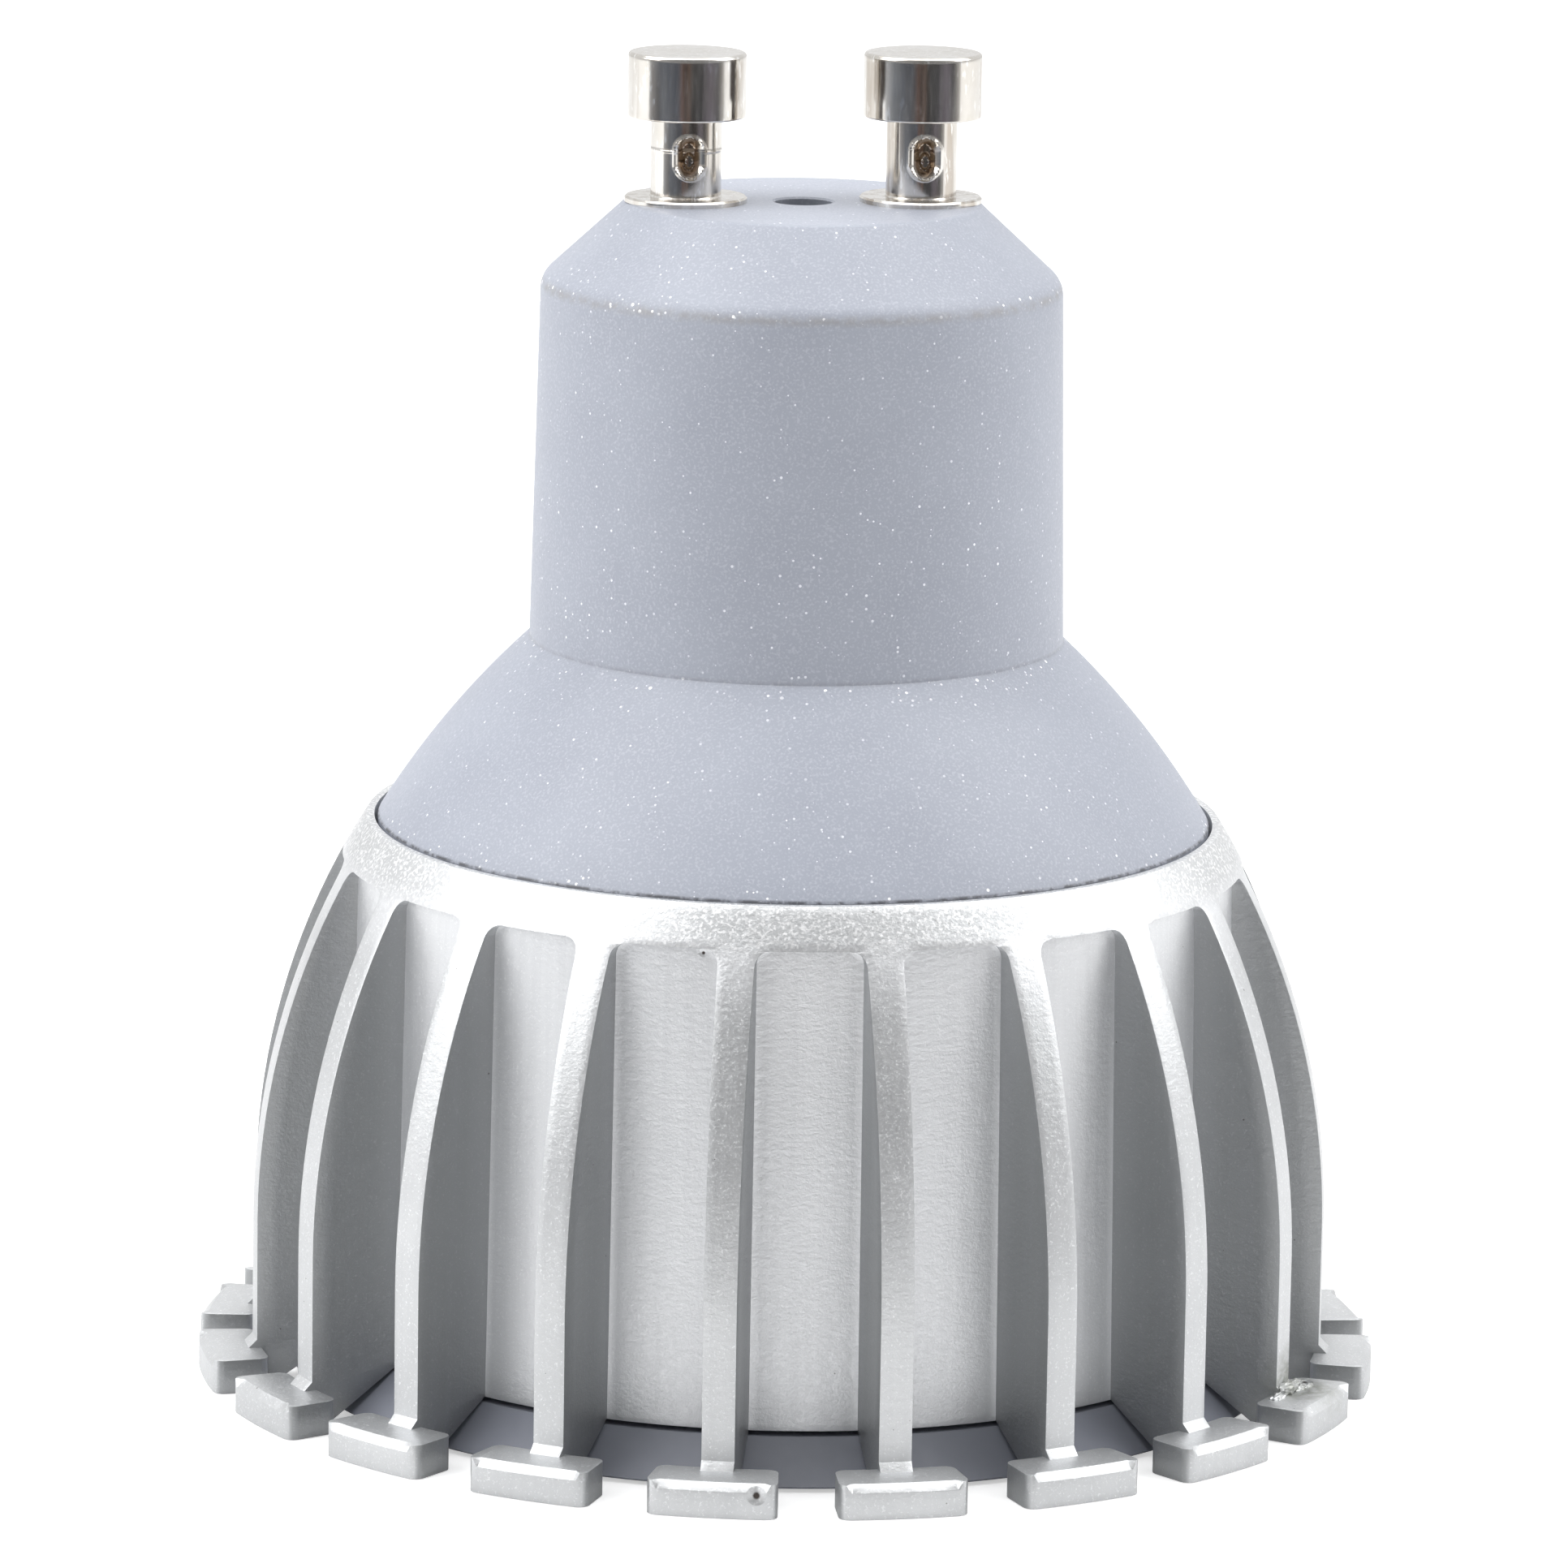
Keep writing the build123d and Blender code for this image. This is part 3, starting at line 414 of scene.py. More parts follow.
def castRows(sizes):
    # height, outer radius and extra half width of the fin for each row, from the rim up to the collar
    rise = sizes["collarTop"] - sizes["bellyHeight"]
    fall = sizes["bellyRadius"] - sizes["collarRadius"]
    bow = (rise ** 2 + fall ** 2) / (2 * fall)

    def outerRadius(height):
        over = max(0.0, height - sizes["bellyHeight"])
        return sizes["bellyRadius"] - bow + sqrt(bow ** 2 - over ** 2)

    gussetTop = sizes["footHeight"] + sizes["gusset"]
    rows = [(sizes["rimLift"], sizes["bellyRadius"] - sizes["rimSetback"], 0.0),
            (sizes["footHeight"] - sizes["gussetSink"], sizes["bellyRadius"] + sizes["gussetReach"], 0.0),
            (gussetTop, sizes["bellyRadius"], 0.0)]
    cornerFoot = sizes["pocketTop"] - sizes["pocketCorner"]
    for k in range(1, sizes["bowRows"] + 1):
        height = gussetTop + (cornerFoot - gussetTop) * k / sizes["bowRows"]
        rows.append((height, outerRadius(height), 0.0))
    for k in range(1, sizes["cornerRows"] + 1):
        turn = pi / 2 * k / sizes["cornerRows"]
        height = cornerFoot + sizes["pocketCorner"] * sin(turn)
        rows.append((height, outerRadius(height), sizes["pocketCorner"] * (1 - cos(turn))))
    pocketRow = len(rows) - 1
    for k in range(1, sizes["collarRows"] + 1):
        height = sizes["pocketTop"] + (sizes["collarTop"] - sizes["pocketTop"]) * k / sizes["collarRows"]
        widening = sizes["pocketCorner"] * (1 - k / sizes["collarRows"])
        rows.append((height, outerRadius(height), widening))
    return rows, pocketRow


def castSector(sizes):
    rows, pocketRow = castRows(sizes)
    finColumns, pocketColumns = sizes["finColumns"], sizes["pocketColumns"]
    lastColumn = 2 * finColumns + pocketColumns
    halfPitch = pi / sizes["fins"]
    bm = bmesh.new()
    columnOf = bm.verts.layers.int.new("column")
    rowOf = bm.verts.layers.int.new("row")
    bmesh.ops.create_grid(bm, x_segments=lastColumn, y_segments=len(rows) - 1, size=0.5)
    for vert in bm.verts:
        vert[columnOf] = round((vert.co.x + 0.5) * lastColumn)
        vert[rowOf] = round((vert.co.y + 0.5) * (len(rows) - 1))

    def finHalf(radius, widening):
        drafted = (radius - sizes["coreTopRadius"]) * tan(radians(sizes["draft"]))
        return sizes["rootThickness"] / 2 - drafted + widening

    def bearing(column, radius, widening):
        # angle from the middle of the pocket; the fins keep their thickness, the pocket takes what is left
        edge = halfPitch - asin(finHalf(radius, widening) / radius)
        if column <= finColumns:
            return -halfPitch + (halfPitch - edge) * column / finColumns
        if column >= lastColumn - finColumns:
            return halfPitch - (halfPitch - edge) * (lastColumn - column) / finColumns
        return edge * (2 * (column - finColumns) / pocketColumns - 1)

    def settle(vert, radius, height, widening):
        angle = bearing(vert[columnOf], radius, widening)
        vert.co = (radius * cos(angle), radius * sin(angle), height)

    def rootPlace(row):
        # at the core; the lowest rows draw together, since the core's foot is higher than the fin's
        height, _, widening = rows[row]
        floor, blend = sizes["coreFootHeight"], sizes["rootBlend"]
        if height < blend:
            height = floor + height * (blend - floor) / blend
        slope = (sizes["coreFootRadius"] - sizes["coreTopRadius"]) / (sizes["pocketTop"] - floor)
        return sizes["coreFootRadius"] - slope * (height - floor), height, widening

    def middlePlace(row):
        if row == 0:
            return sizes["slantRadius"], 0.0, 0.0
        height, radius, widening = rows[row]
        rootRadius, rootHeight, _ = rootPlace(row)
        belly = sizes["bellyRadius"]
        share = (belly - sizes["slantRadius"]) / (belly - sizes["coreFootRadius"])
        return radius + (rootRadius - radius) * share, height + (rootHeight - height) * share, widening

    for vert in bm.verts:
        height, radius, widening = rows[vert[rowOf]]
        settle(vert, radius, height, widening)

    def inPocket(vert):
        return finColumns <= vert[columnOf] <= lastColumn - finColumns

    # the pocket is dug in two steps, and the underside of the fin follows it
    pocket = [face for face in bm.faces
              if all(inPocket(vert) and vert[rowOf] <= pocketRow for vert in face.verts)]
    finFoot = [edge for edge in bm.edges if all(vert[rowOf] == 0 for vert in edge.verts) and (
        all(vert[columnOf] <= finColumns for vert in edge.verts)
        or all(vert[columnOf] >= lastColumn - finColumns for vert in edge.verts))]
    for place in (middlePlace, rootPlace):
        edges = {edge for face in pocket for edge in face.edges}
        verts = {vert for face in pocket for vert in face.verts}
        dug = bmesh.ops.extrude_face_region(bm, geom=pocket + list(edges) + list(verts))["geom"]
        pocket = pick(dug, BMFace)
        for vert in pick(dug, BMVert):
            settle(vert, *place(vert[rowOf]))
        stepped = bmesh.ops.extrude_edge_only(bm, edges=finFoot)["geom"]
        finFoot = pick(stepped, BMEdge)
        for vert in pick(stepped, BMVert):
            settle(vert, *place(0))
    openings = [face for face in bm.faces if all(vert[rowOf] == 0 and inPocket(vert) for vert in face.verts)]
    bmesh.ops.delete(bm, geom=openings, context="FACES_ONLY")
    bmesh.ops.remove_doubles(bm, verts=bm.verts, dist=weldGap)

    # the core's underside, its two bores and the collar's ledge close the sector
    rim = [edge for edge in bm.edges if edge.is_boundary and all(
        vert[rowOf] == 0 and abs(vert.co.z - sizes["coreFootHeight"]) < slack for vert in edge.verts)]
    topWidening = rows[-1][2]
    for radius, height in castInside + [(sizes["collarRadius"], sizes["collarTop"])]:
        stepped = bmesh.ops.extrude_edge_only(bm, edges=rim)["geom"]
        rim = pick(stepped, BMEdge)
        for vert in pick(stepped, BMVert):
            angle = bearing(vert[columnOf], sizes["collarRadius"], topWidening)
            vert.co = (radius * cos(angle), radius * sin(angle), height)
    bmesh.ops.remove_doubles(bm, verts=bm.verts, dist=weldGap)
    return bm


footSizes = dict(radius=25.4, innerRadius=23.0, height=1.45, arc=12.33, chamfer=0.33, corner=0.45, columns=10,
                 sharpTurn=1.0)


def castFoot(sizes):
    bm = bmesh.new()

    def isSharp(edge):
        # where two faces meet at more than the sharp turn, in radians
        return edge.calc_face_angle(0) > sizes["sharpTurn"]

    def isUpright(edge):
        return abs(edge.verts[0].co.z - edge.verts[1].co.z) > sizes["height"] / 2

    def atOuterTop(vert):
        reach = hypot(vert.co.x, vert.co.y)
        return vert.co.z > sizes["height"] - slack and reach > sizes["radius"] - 2 * slack

    def bevel(edges, offset, segments):
        bmesh.ops.bevel(bm, geom=edges, offset=offset, affect="EDGES", segments=segments, profile=0.5,
                        material=-1)

    bmesh.ops.create_grid(bm, x_segments=sizes["columns"], y_segments=1, size=0.5)
    for vert in bm.verts:
        angle = radians(sizes["arc"]) * vert.co.x
        radius = sizes["innerRadius"] + (sizes["radius"] - sizes["innerRadius"]) * (vert.co.y + 0.5)
        vert.co = (radius * cos(angle), radius * sin(angle), 0)
    raised = bmesh.ops.extrude_face_region(bm, geom=bm.faces[:])["geom"]
    bmesh.ops.translate(bm, vec=(0, 0, sizes["height"]), verts=pick(raised, BMVert))
    bmesh.ops.recalc_face_normals(bm, faces=bm.faces)
    bevel([edge for edge in bm.edges if isUpright(edge) and isSharp(edge)], sizes["corner"], 4)
    bevel([edge for edge in bm.edges if isSharp(edge) and all(atOuterTop(vert) for vert in edge.verts)],
          sizes["chamfer"], 1)
    return bm


# lumps of flash beside the fin on one foot: radius, distance along the rim, height and size in millimetres;
# waves are the number and the start of the swellings outward and along, stretch is outward, along and up
footBurrs = dict(angle=-30.87, swell=0.22, waves=((9, 5), (7, 3)), stretch=(0.8, 1.7, 0.6),
                 lumps=[(23.42, 0.00, 1.62, 0.44), (23.62, 0.80, 1.40, 0.34), (23.85, 1.35, 1.38, 0.26),
                        (23.15, 1.40, 1.42, 0.34), (23.40, -0.95, 1.40, 0.38)])


def castBurrs(burrs):
    bm = bmesh.new()
    turn = Matrix.Rotation(radians(burrs["angle"]), 4, "Z")
    (countX, startX), (countY, startY) = burrs["waves"]
    stretchX, stretchY, stretchZ = burrs["stretch"]
    for radius, along, height, size in burrs["lumps"]:
        lump = bmesh.ops.create_icosphere(bm, subdivisions=3, radius=size)["verts"]
        for vert in lump:
            waveX = sin(countX * vert.co.x / size + startX * radius)
            waveY = sin(countY * vert.co.y / size + startY * along)
            vert.co *= 1 + burrs["swell"] * waveX * waveY
            vert.co = turn @ Vector((radius + vert.co.x * stretchX, along + vert.co.y * stretchY,
                                     height + vert.co.z * stretchZ))
    return bm


def addHeatsink(material):
    sizes = castSizes
    pitch = fullTurn / sizes["fins"]
    firstFin = radians(sizes["firstFin"])
    bm = castSector(sizes)
    turnMesh(bm, firstFin + pitch / 2)
    foot = castFoot(footSizes)
    turnMesh(foot, firstFin)
    for part in (bm, foot):
        bmesh.ops.spin(part, geom=part.verts[:] + part.edges[:] + part.faces[:], cent=(0, 0, 0),
                       axis=(0, 0, 1), angle=fullTurn - pitch, steps=sizes["fins"] - 1, use_duplicate=True)
        bmesh.ops.remove_doubles(part, verts=part.verts, dist=sizes["seamGap"])
        bmesh.ops.recalc_face_normals(part, faces=part.faces)
    for extra in (foot, castBurrs(footBurrs)):
        loose = bpy.data.meshes.new("castExtras")
        extra.to_mesh(loose)
        extra.free()
        bm.from_mesh(loose)
    print("heatsink open edges", sum(edge.is_boundary for edge in bm.edges), "faces", len(bm.faces))
    addPiece("heatsinkCasting", bm, material, ["heatsink"], crease=33,
             bevel=sizes["edgeRound"])


# The base housing: a spun shell with the cap face, cone, neck, dome and spigot

housingSizes = dict(capFace=50.55, capRadius=7.5, capEdge=0.3, shoulder=47.25, shoulderRadius=11.07,
                    shoulderEdge=1.2, neckFoot=31.85, neckFootRadius=11.4, domeBow=36.0,
                    skirtRadius=17.8, skirtFoot=24.0, ledge=22.8,
                    spigotRadius=16.85, spigotFoot=19.8, spigotWall=1.35, holeRadius=1.25, holeEdge=0.08,
                    capUnder=48.55, wall=1.4, innerFoot=24.9, innerHead=31.1, innerShoulder=46.55,
                    neckShares=(0.25, 0.5, 0.75, 0.9, 0.985), steps=256)


def housingProfile(sizes):
    capEdge, shoulder = (sizes["capRadius"], sizes["capFace"]), (sizes["shoulderRadius"], sizes["shoulder"])
    neckFoot, skirt = (sizes["neckFootRadius"], sizes["neckFoot"]), (sizes["skirtRadius"], sizes["skirtFoot"])
    hole, holeEdge = sizes["holeRadius"], sizes["holeEdge"]
    profile = [(hole, sizes["capUnder"]), (hole, sizes["capFace"] - holeEdge),
               (hole + holeEdge, sizes["capFace"])]
    profile += roundCorner((hole, sizes["capFace"]), capEdge, shoulder, sizes["capEdge"])
    profile += roundCorner(capEdge, shoulder, neckFoot, sizes["shoulderEdge"], 10)
    neckLength = sizes["shoulder"] - sizes["neckFoot"]
    for share in sizes["neckShares"]:
        profile.append((shoulder[0] + (neckFoot[0] - shoulder[0]) * share, shoulder[1] - neckLength * share))
    profile += arcBetween(neckFoot, skirt, sizes["domeBow"], 28)
    spigot, inside = sizes["spigotRadius"], sizes["spigotRadius"] - sizes["spigotWall"]
    profile += [(sizes["skirtRadius"], sizes["ledge"]), (spigot, sizes["ledge"]),
                (spigot, sizes["spigotFoot"]), (inside, sizes["spigotFoot"])]
    innerFoot, innerHead = (inside, sizes["innerFoot"]), (neckFoot[0] - sizes["wall"], sizes["innerHead"])
    profile += arcBetween(innerFoot, innerHead, sizes["domeBow"] - sizes["wall"], 12, -1)
    profile += [(shoulder[0] - sizes["wall"], sizes["innerShoulder"]),
                (sizes["capRadius"], sizes["capUnder"])]
    return profile


def addHousing(material):
    bm = spinProfile(housingProfile(housingSizes), housingSizes["steps"])
    addPiece("baseMoulding", bm, material, ["base_housing"], crease=28)


# The contact pins: turned, with the punch mark pressed into the stem's finer mesh

pinSizes = dict(spacing=10.0, capFace=50.55, flangeRadius=2.6, flangeHeight=0.25, stemRadius=1.5,
                headFoot=54.15, headTop=56.895, headRadius=2.5, headEdge=0.16,
                shankRadius=1.45, boreRadius=0.75, foot=48.1,
                stemEdge=0.06, flangeEdge=0.08, rivetRadius=2.15, rivetHeight=0.45, headFloor=0.7,
                headShares=(0.3, 0.6, 0.85), steps=144, stemRows=64)
# the punch mark, its lip and nub, and the fine line on one stem; slopes and the lip's place are shares
# of the half width that they belong to
markSizes = dict(height=1.7, width=1.2, rise=2.0, depth=0.42, slope=0.42, lip=0.05, lipMiddle=1.06,
                 lipSpread=0.16, nub=0.24, nubHalfWidth=0.30, nubHalfHeight=0.38, nubDrop=0.15, nubSlope=0.35,
                 lineHeight=52.79, lineRise=0.03, lineHalfWidth=0.07)


def pinProfile(sizes):
    face, head, top = sizes["capFace"], sizes["headFoot"], sizes["headTop"]
    flange = face + sizes["flangeHeight"]
    upper, lower = (sizes["headRadius"], top), (sizes["headRadius"], head)
    profile = [(0, top)] + [(sizes["headRadius"] * share, top) for share in sizes["headShares"]]
    profile += roundCorner((0, top), upper, lower, sizes["headEdge"], 6)
    profile += roundCorner(upper, lower, (0, head), sizes["headEdge"] / 2, 4)
    stem, stemEdge = sizes["stemRadius"], sizes["stemEdge"]
    profile += [(stem + stemEdge, head), (stem, head - stemEdge)]
    profile += [(stem, head - stemEdge - (head - 2 * stemEdge - flange) * k / sizes["stemRows"])
                for k in range(1, sizes["stemRows"] + 1)]
    rim, rimEdge = sizes["flangeRadius"], sizes["flangeEdge"]
    profile += [(stem + stemEdge, flange), (rim - rimEdge, flange), (rim, flange - rimEdge), (rim, face)]
    shank, rivet, bore = sizes["shankRadius"], sizes["rivetRadius"], sizes["boreRadius"]
    foot, rivetTop, boreTop = sizes["foot"], sizes["foot"] + sizes["rivetHeight"], head - sizes["headFloor"]
    profile += [(shank, face), (shank, rivetTop), (rivet, rivetTop), (rivet, foot), (bore, foot),
                (bore, boreTop), (0, boreTop)]
    return profile


def addPin(name, side, node, material):
    sizes, mark = pinSizes, markSizes
    bm = spinProfile(pinProfile(sizes), sizes["steps"], closed=False)
    markMiddle = sizes["capFace"] + mark["rise"]
    for vert in bm.verts:
        radius = hypot(vert.co.x, vert.co.y)
        if abs(radius - sizes["stemRadius"]) > 2 * slack or vert.co.y > 0:
            continue
        # an oval with straight sides: distance from its middle line, in shares of its half width
        along = max(0.0, abs(vert.co.z - markMiddle) - (mark["height"] - mark["width"]) / 2)
        share = hypot(vert.co.x, along) / (mark["width"] / 2)
        lip = mark["lip"] * max(0.0, 1 - abs(share - mark["lipMiddle"]) / mark["lipSpread"])
        nubRise = vert.co.z - markMiddle + mark["nubDrop"]
        nubShare = hypot(vert.co.x / mark["nubHalfWidth"], nubRise / mark["nubHalfHeight"])
        lip += mark["nub"] * min(1.0, max(0.0, (1 - nubShare) / mark["nubSlope"]))
        if side < 0:
            lineShare = abs(vert.co.z - mark["lineHeight"]) / mark["lineHalfWidth"]
            lip += mark["lineRise"] * max(0.0, 1 - lineShare)
        sink = mark["depth"] * min(1.0, max(0.0, (1 - share) / mark["slope"]))
        grown = (radius + lip - sink) / radius
        vert.co *= Vector((grown, grown, 1))
    addPiece(name, bm, material, [node], crease=38, shift=(side * sizes["spacing"] / 2, 0, 0))


# The plastic ring in front of the lenses

ringSizes = dict(front=0.15, radius=21.3, top=1.85, topRadius=19.4, skirtRadius=17.4, skirtWall=0.85,
                 skirtTop=5.05, lipRadius=15.9, openingRadius=16.8, stepRadius=19.9,
                 stepDepth=0.3, stepWidth=0.42,
                 frontEdge=(0.06, 0.08), topEdge=(0.06, 0.05), openingEdge=(0.05, 0.06), steps=240)


def addFrontRing(material):
    sizes = ringSizes
    front, top = sizes["front"], sizes["top"]
    radius, topRadius = sizes["radius"], sizes["topRadius"]
    lip, opening = sizes["lipRadius"], sizes["openingRadius"]
    skirt, skirtTop = sizes["skirtRadius"], sizes["skirtTop"]
    skirtInside = skirt - sizes["skirtWall"]
    step, stepTop = sizes["stepRadius"], front + sizes["stepDepth"]
    stepEnd = step + sizes["stepWidth"]
    frontIn, frontUp = sizes["frontEdge"]
    topOut, topDown = sizes["topEdge"]
    openingOut, openingUp = sizes["openingEdge"]
    profile = [(radius - frontIn, front), (radius, front + frontUp), (topRadius + topOut, top - topDown),
               (topRadius, top), (skirt, top), (skirt, skirtTop), (skirtInside, skirtTop), (skirtInside, top),
               (lip, top), (lip, top - sizes["skirtWall"]), (opening - openingOut, front + openingUp),
               (opening + openingOut, front), (step, front), (step, stepTop), (stepEnd, stepTop),
               (stepEnd, front)]
    bm = spinProfile(profile, sizes["steps"])
    addPiece("frontRingMoulding", bm, material, ["front_ring"], crease=30)


# Finishes for the pieces that stay as packed

def dressInnerPieces(acrylic):
    finishes = {
        "holder_plastic": plainFinish("holderPlastic", (0.80, 0.80, 0.78), (0.86, 0.86, 0.85), 0.42),
        "emitter_ceramic": plainFinish("emitterPhosphor", (0.92, 0.74, 0.16), (0.95, 0.80, 0.24), 0.35),
        "board_white": plainFinish("boardWhite", (0.82, 0.83, 0.82), (0.88, 0.88, 0.87), 0.38),
        "pad_silicone": plainFinish("padSilicone", (0.34, 0.37, 0.42), (0.40, 0.43, 0.47), 0.8, lift=0.02),
        "screw_steel": plainFinish("screwSteel", (0.62, 0.62, 0.64), (0.72, 0.72, 0.73), 0.3, 1.0),
        "board_green": plainFinish("boardGreen", (0.03, 0.20, 0.08), (0.04, 0.26, 0.11), 0.3),
        "ferrite": plainFinish("ferriteGrey", (0.06, 0.06, 0.065), (0.09, 0.09, 0.095), 0.6, lift=0.015),
        "bobbin_plastic": plainFinish("bobbinBlack", (0.02, 0.02, 0.02), (0.03, 0.03, 0.03), 0.4),
        "winding_tape": plainFinish("windingTape", (0.75, 0.52, 0.06), (0.80, 0.58, 0.10), 0.35),
        "can_sleeve": plainFinish("canSleeve", (0.02, 0.03, 0.05), (0.04, 0.05, 0.08), 0.3),
        "chip_package": plainFinish("chipPackage", (0.02, 0.02, 0.02), (0.035, 0.035, 0.035), 0.55,
                                    lift=0.01),
        "resistor_coat": plainFinish("resistorCoat", (0.05, 0.22, 0.18), (0.08, 0.28, 0.23), 0.45),
        "wire_red": plainFinish("wireRed", (0.50, 0.02, 0.02), (0.58, 0.04, 0.03), 0.4),
        "wire_black": plainFinish("wireBlack", (0.02, 0.02, 0.02), (0.03, 0.03, 0.03), 0.4),
        "wire_grey": plainFinish("wireGrey", (0.40, 0.41, 0.43), (0.47, 0.48, 0.50), 0.4),
        "lens_acrylic": acrylic,
    }
    for entry in frame["record"]["subparts"]:
        node = frame["nodes"][entry["node"]]
        if entry["material_slot"] in finishes:
            node.data.materials.clear()
            node.data.materials.append(finishes[entry["material_slot"]])


# The studio: white floor, pale room, soft lights, a black sheet, and the photograph's camera

cameraLook = dict(distance=0.37747, height=0.10241, azimuth=6.29, pitch=radians(11.534), roll=radians(0.927),
                  focalPixels=11076.06, imageWidth=1932, middleShift=12.15)


# metres, watts and degrees; glow is the room's brightness from in front of the lamp to behind it
studioLook = dict(
    glow={"From Min": -0.9, "From Max": 0.3, "To Min": 0.27, "To Max": 0.90},
    softboxes={"keyLeft": ((-0.56, -0.08, 0.46), (0.50, 0.66), 3.2),
               "fillRight": ((0.58, -0.08, 0.48), (0.50, 0.66), 2.75),
               "topSheet": ((0.0, 0.14, 0.9), (1.1, 1.1), 7.2)},
    aim=(0, 0, 0.03), floor=(0.78, 0.78, 0.78), floorGlow=0.50, floorRadius=3.0, floorDrop=0.02 * mm,
    flagInner=0.12, flagOuter=1.3, flagSpread=156, flagHeight=0.002,
    flagShades=[(0.0, (0.24, 0.25, 0.27)), (0.14, (0.07, 0.08, 0.10)), (0.40, (0.03, 0.035, 0.05)),
                (0.44, (0.08, 0.04, 0.03)), (0.49, (0.015, 0.01, 0.01)), (0.52, (0.09, 0.05, 0.035)),
                (0.56, (0.004, 0.004, 0.006)), (0.68, (0.01, 0.01, 0.014)), (0.80, (0.09, 0.08, 0.10)),
                (0.90, (0.03, 0.03, 0.035)), (1.0, (0.30, 0.29, 0.28))])


def addCamera(look):
    azimuth = radians(look["azimuth"])
    ahead = Vector((sin(azimuth), cos(azimuth), 0))
    right = Vector((cos(azimuth), -sin(azimuth), 0))
    forward = ahead * cos(look["pitch"]) - Vector((0, 0, sin(look["pitch"])))
    up = right.cross(forward)
    rolledRight = right * cos(look["roll"]) + up * sin(look["roll"])
    rolledUp = up * cos(look["roll"]) - right * sin(look["roll"])
    data = bpy.data.cameras.new("photoCamera")
    data.sensor_width = 36
    data.lens = look["focalPixels"] / look["imageWidth"] * data.sensor_width
    data.shift_x = -look["middleShift"] / look["imageWidth"]
    data.clip_start = 0.01
    camera = bpy.data.objects.new("photoCamera", data)
    axes = Matrix((rolledRight, rolledUp, -forward)).transposed().to_4x4()
    place = -ahead * look["distance"] + Vector((0, 0, look["height"]))
    camera.matrix_world = Matrix.Translation(place) @ axes
    bpy.context.scene.collection.objects.link(camera)
    bpy.context.scene.camera = camera


def addSoftbox(name, place, aim, size, watts):
    data = bpy.data.lights.new(name, "AREA")
    data.shape = "RECTANGLE"
    data.size, data.size_y = size
    data.energy = watts
    lamp = bpy.data.objects.new(name, data)
    turn = (Vector(aim) - Vector(place)).to_track_quat("-Z", "Y")
    lamp.matrix_world = Matrix.Translation(place) @ turn.to_matrix().to_4x4()
    bpy.context.scene.collection.objects.link(lamp)


def addSheet(name, bm):
    mesh = bpy.data.meshes.new(name)
    bm.to_mesh(mesh)
    bm.free()
    sheet = bpy.data.objects.new(name, mesh)
    bpy.context.scene.collection.objects.link(sheet)
    return sheet


def addFloor():
    bm = bmesh.new()
    bmesh.ops.create_circle(bm, cap_ends=True, segments=96, radius=studioLook["floorRadius"])
    bmesh.ops.translate(bm, vec=(0, 0, -studioLook["floorDrop"]), verts=bm.verts)
    floor = addSheet("floorPlate", bm)
    pad = NodePad("floorWhite")
    # the floor is lifted to white only where the camera sees it, and lights the lamp as a pale floor does
    seen = pad.add("ShaderNodeLightPath").outputs["Is Camera Ray"]
    glow = pad.math("MULTIPLY", seen, studioLook["floorGlow"])
    floor.data.materials.append(pad.finish(studioLook["floor"], None, Roughness=0.8,
                                           Emission_Color=(1, 1, 1, 1), Emission_Strength=glow))


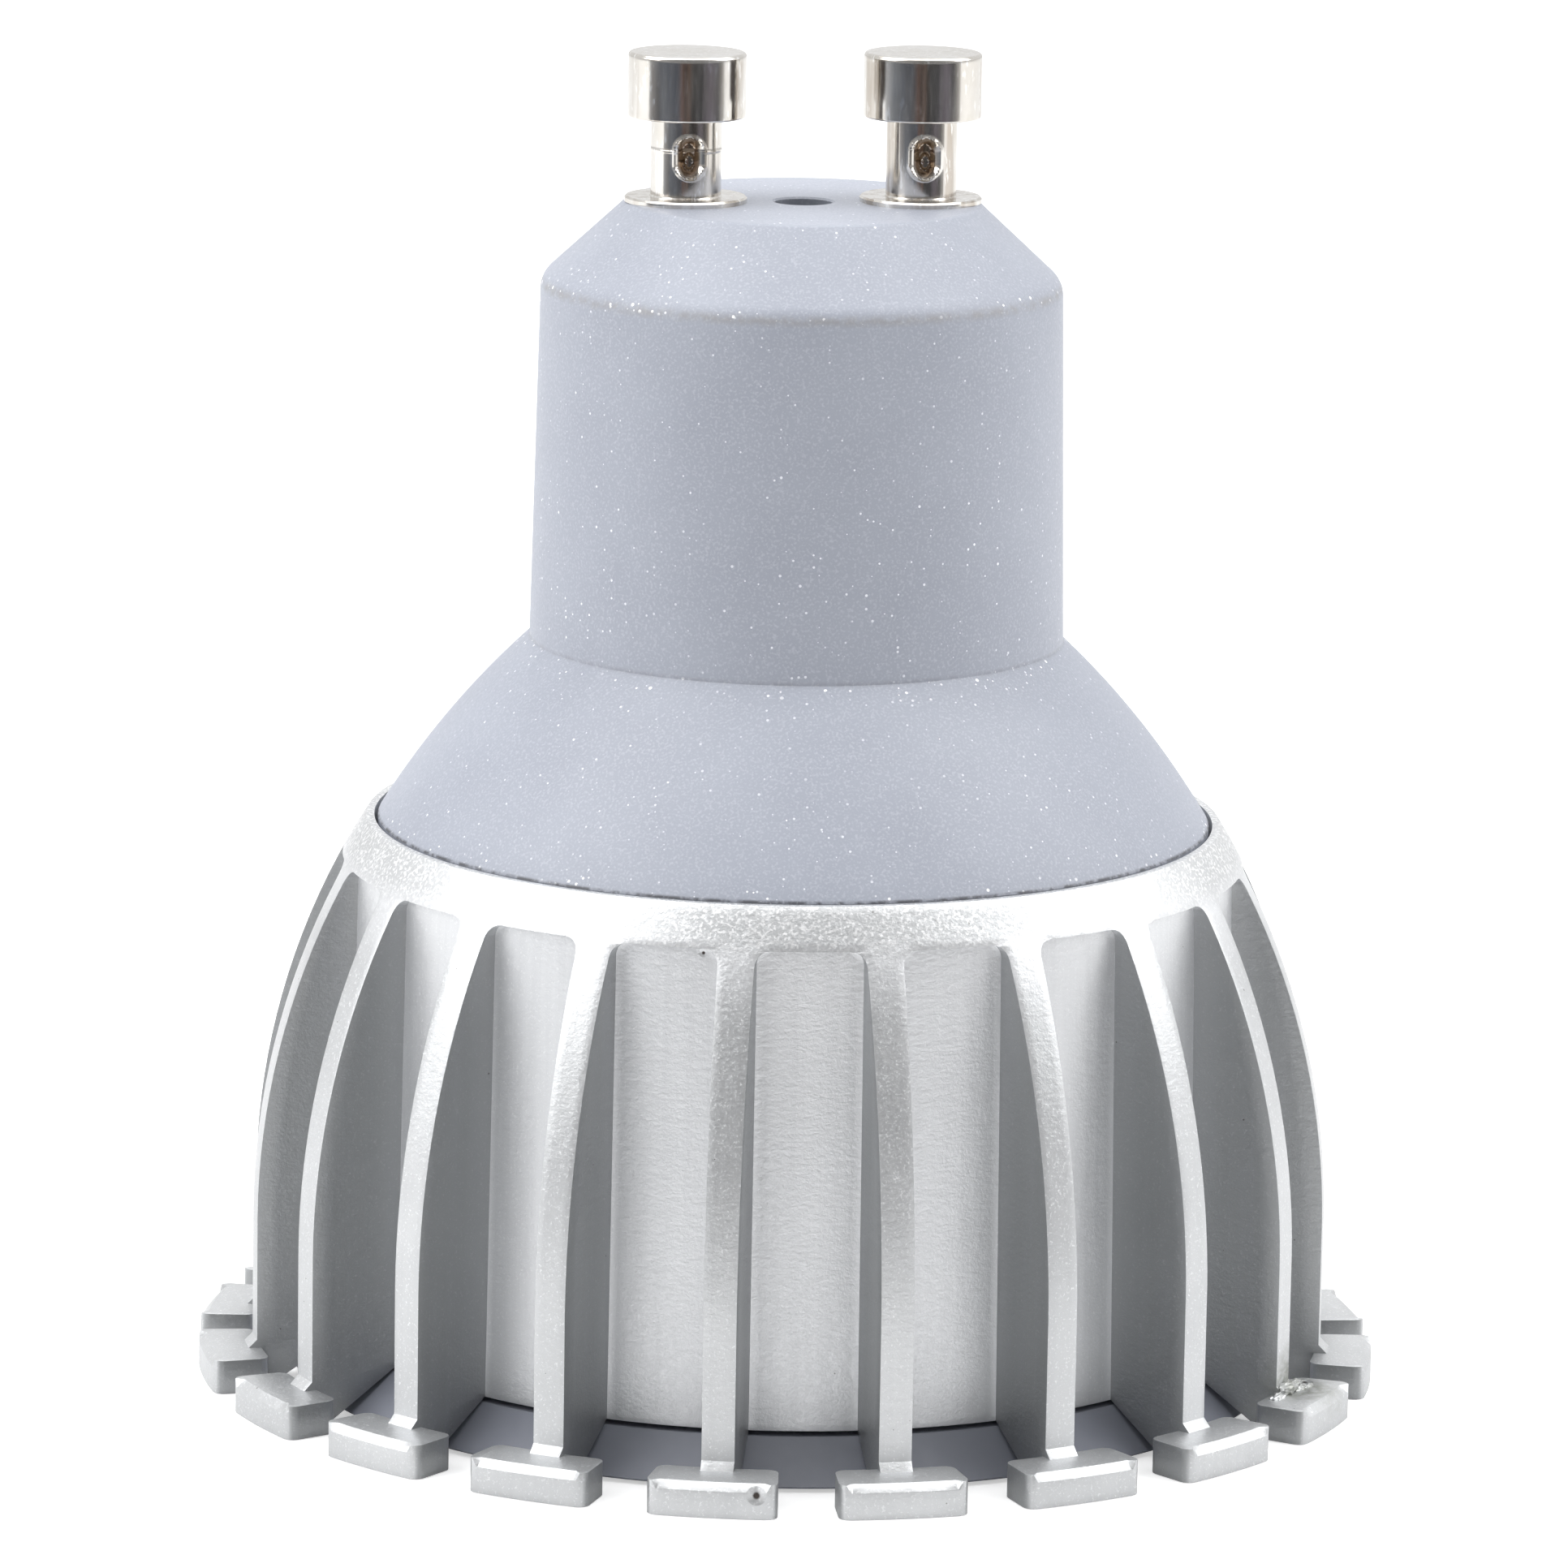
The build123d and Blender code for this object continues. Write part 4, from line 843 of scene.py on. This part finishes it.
def addFlag(look):
    # a black sheet on the floor that only reflections see: it draws the dark bands on the polished pins
    bm = bmesh.new()
    bmesh.ops.create_circle(bm, cap_ends=False, segments=120, radius=look["flagInner"])
    behind = [vert for vert in bm.verts
              if abs(degrees(atan2(vert.co.x, -vert.co.y))) > look["flagSpread"] / 2]
    bmesh.ops.delete(bm, geom=behind, context="VERTS")
    outer = bmesh.ops.extrude_edge_only(bm, edges=bm.edges[:])["geom"]
    grow = look["flagOuter"] / look["flagInner"]
    bmesh.ops.scale(bm, vec=(grow, grow, 1), verts=pick(outer, BMVert))
    bmesh.ops.translate(bm, vec=(0, 0, look["flagHeight"]), verts=bm.verts)
    azimuth = radians(cameraLook["azimuth"])
    turnMesh(bm, -azimuth)
    sheet = addSheet("blackSheet", bm)
    pad = NodePad("blackSheet")
    ahead = pad.add("ShaderNodeMapping", {"Vector": pad.place, "Rotation": (0, 0, azimuth)})
    parts = pad.add("ShaderNodeSeparateXYZ", {0: ahead.outputs["Vector"]}).outputs
    bearing = pad.math("ARCTAN2", parts["X"], pad.math("MULTIPLY", parts["Y"], -1.0))
    edge = radians(look["flagSpread"] / 2)
    shades = pad.ramp(pad.remap(bearing, -edge, edge), *look["flagShades"])
    sheet.data.materials.append(pad.finish(shades, None, Roughness=1.0))
    sheet.visible_camera = sheet.visible_diffuse = sheet.visible_shadow = False


def addStudio():
    addFlag(studioLook)
    world = bpy.data.worlds.new("studioWorld")
    bpy.context.scene.world = world
    world.use_nodes = True
    nodes, links = world.node_tree.nodes, world.node_tree.links
    # the room is dim in front of the lamp, where the photographer stands, and brighter behind it
    split = nodes.new("ShaderNodeSeparateXYZ")
    links.new(nodes.new("ShaderNodeTexCoord").outputs["Generated"], split.inputs[0])
    shade = nodes.new("ShaderNodeMapRange")
    for socket, value in studioLook["glow"].items():
        shade.inputs[socket].default_value = value
    links.new(split.outputs["Y"], shade.inputs["Value"])
    links.new(shade.outputs[0], nodes["Background"].inputs[1])
    nodes["Background"].inputs[0].default_value = (1, 1, 1, 1)
    for name, (place, size, watts) in studioLook["softboxes"].items():
        addSoftbox(name, place, studioLook["aim"], size, watts)
    bpy.context.scene.view_settings.view_transform = "Standard"


addHousing(housingPlastic())
print("housing done")
addHeatsink(castAluminium())
print("heatsink done")
nickel = pinNickel()
addPin("contactPinLeft", -1, "contact_pin_left", nickel)
addPin("contactPinRight", 1, "contact_pin_right", nickel)
print("pins done")
# painted shade: the ring has the housing's blue-grey plastic darkened to about six tenths, to stand in for
# the shade it lies in beneath the fins
addFrontRing(plainFinish("ringPlasticPaintedShade", (0.205, 0.216, 0.255), (0.230, 0.242, 0.284), 0.42, lift=0.003))
dressInnerPieces(clearAcrylic())
print("front ring and inner pieces done")
addFloor()
addCamera(cameraLook)
addStudio()
print("studio done")
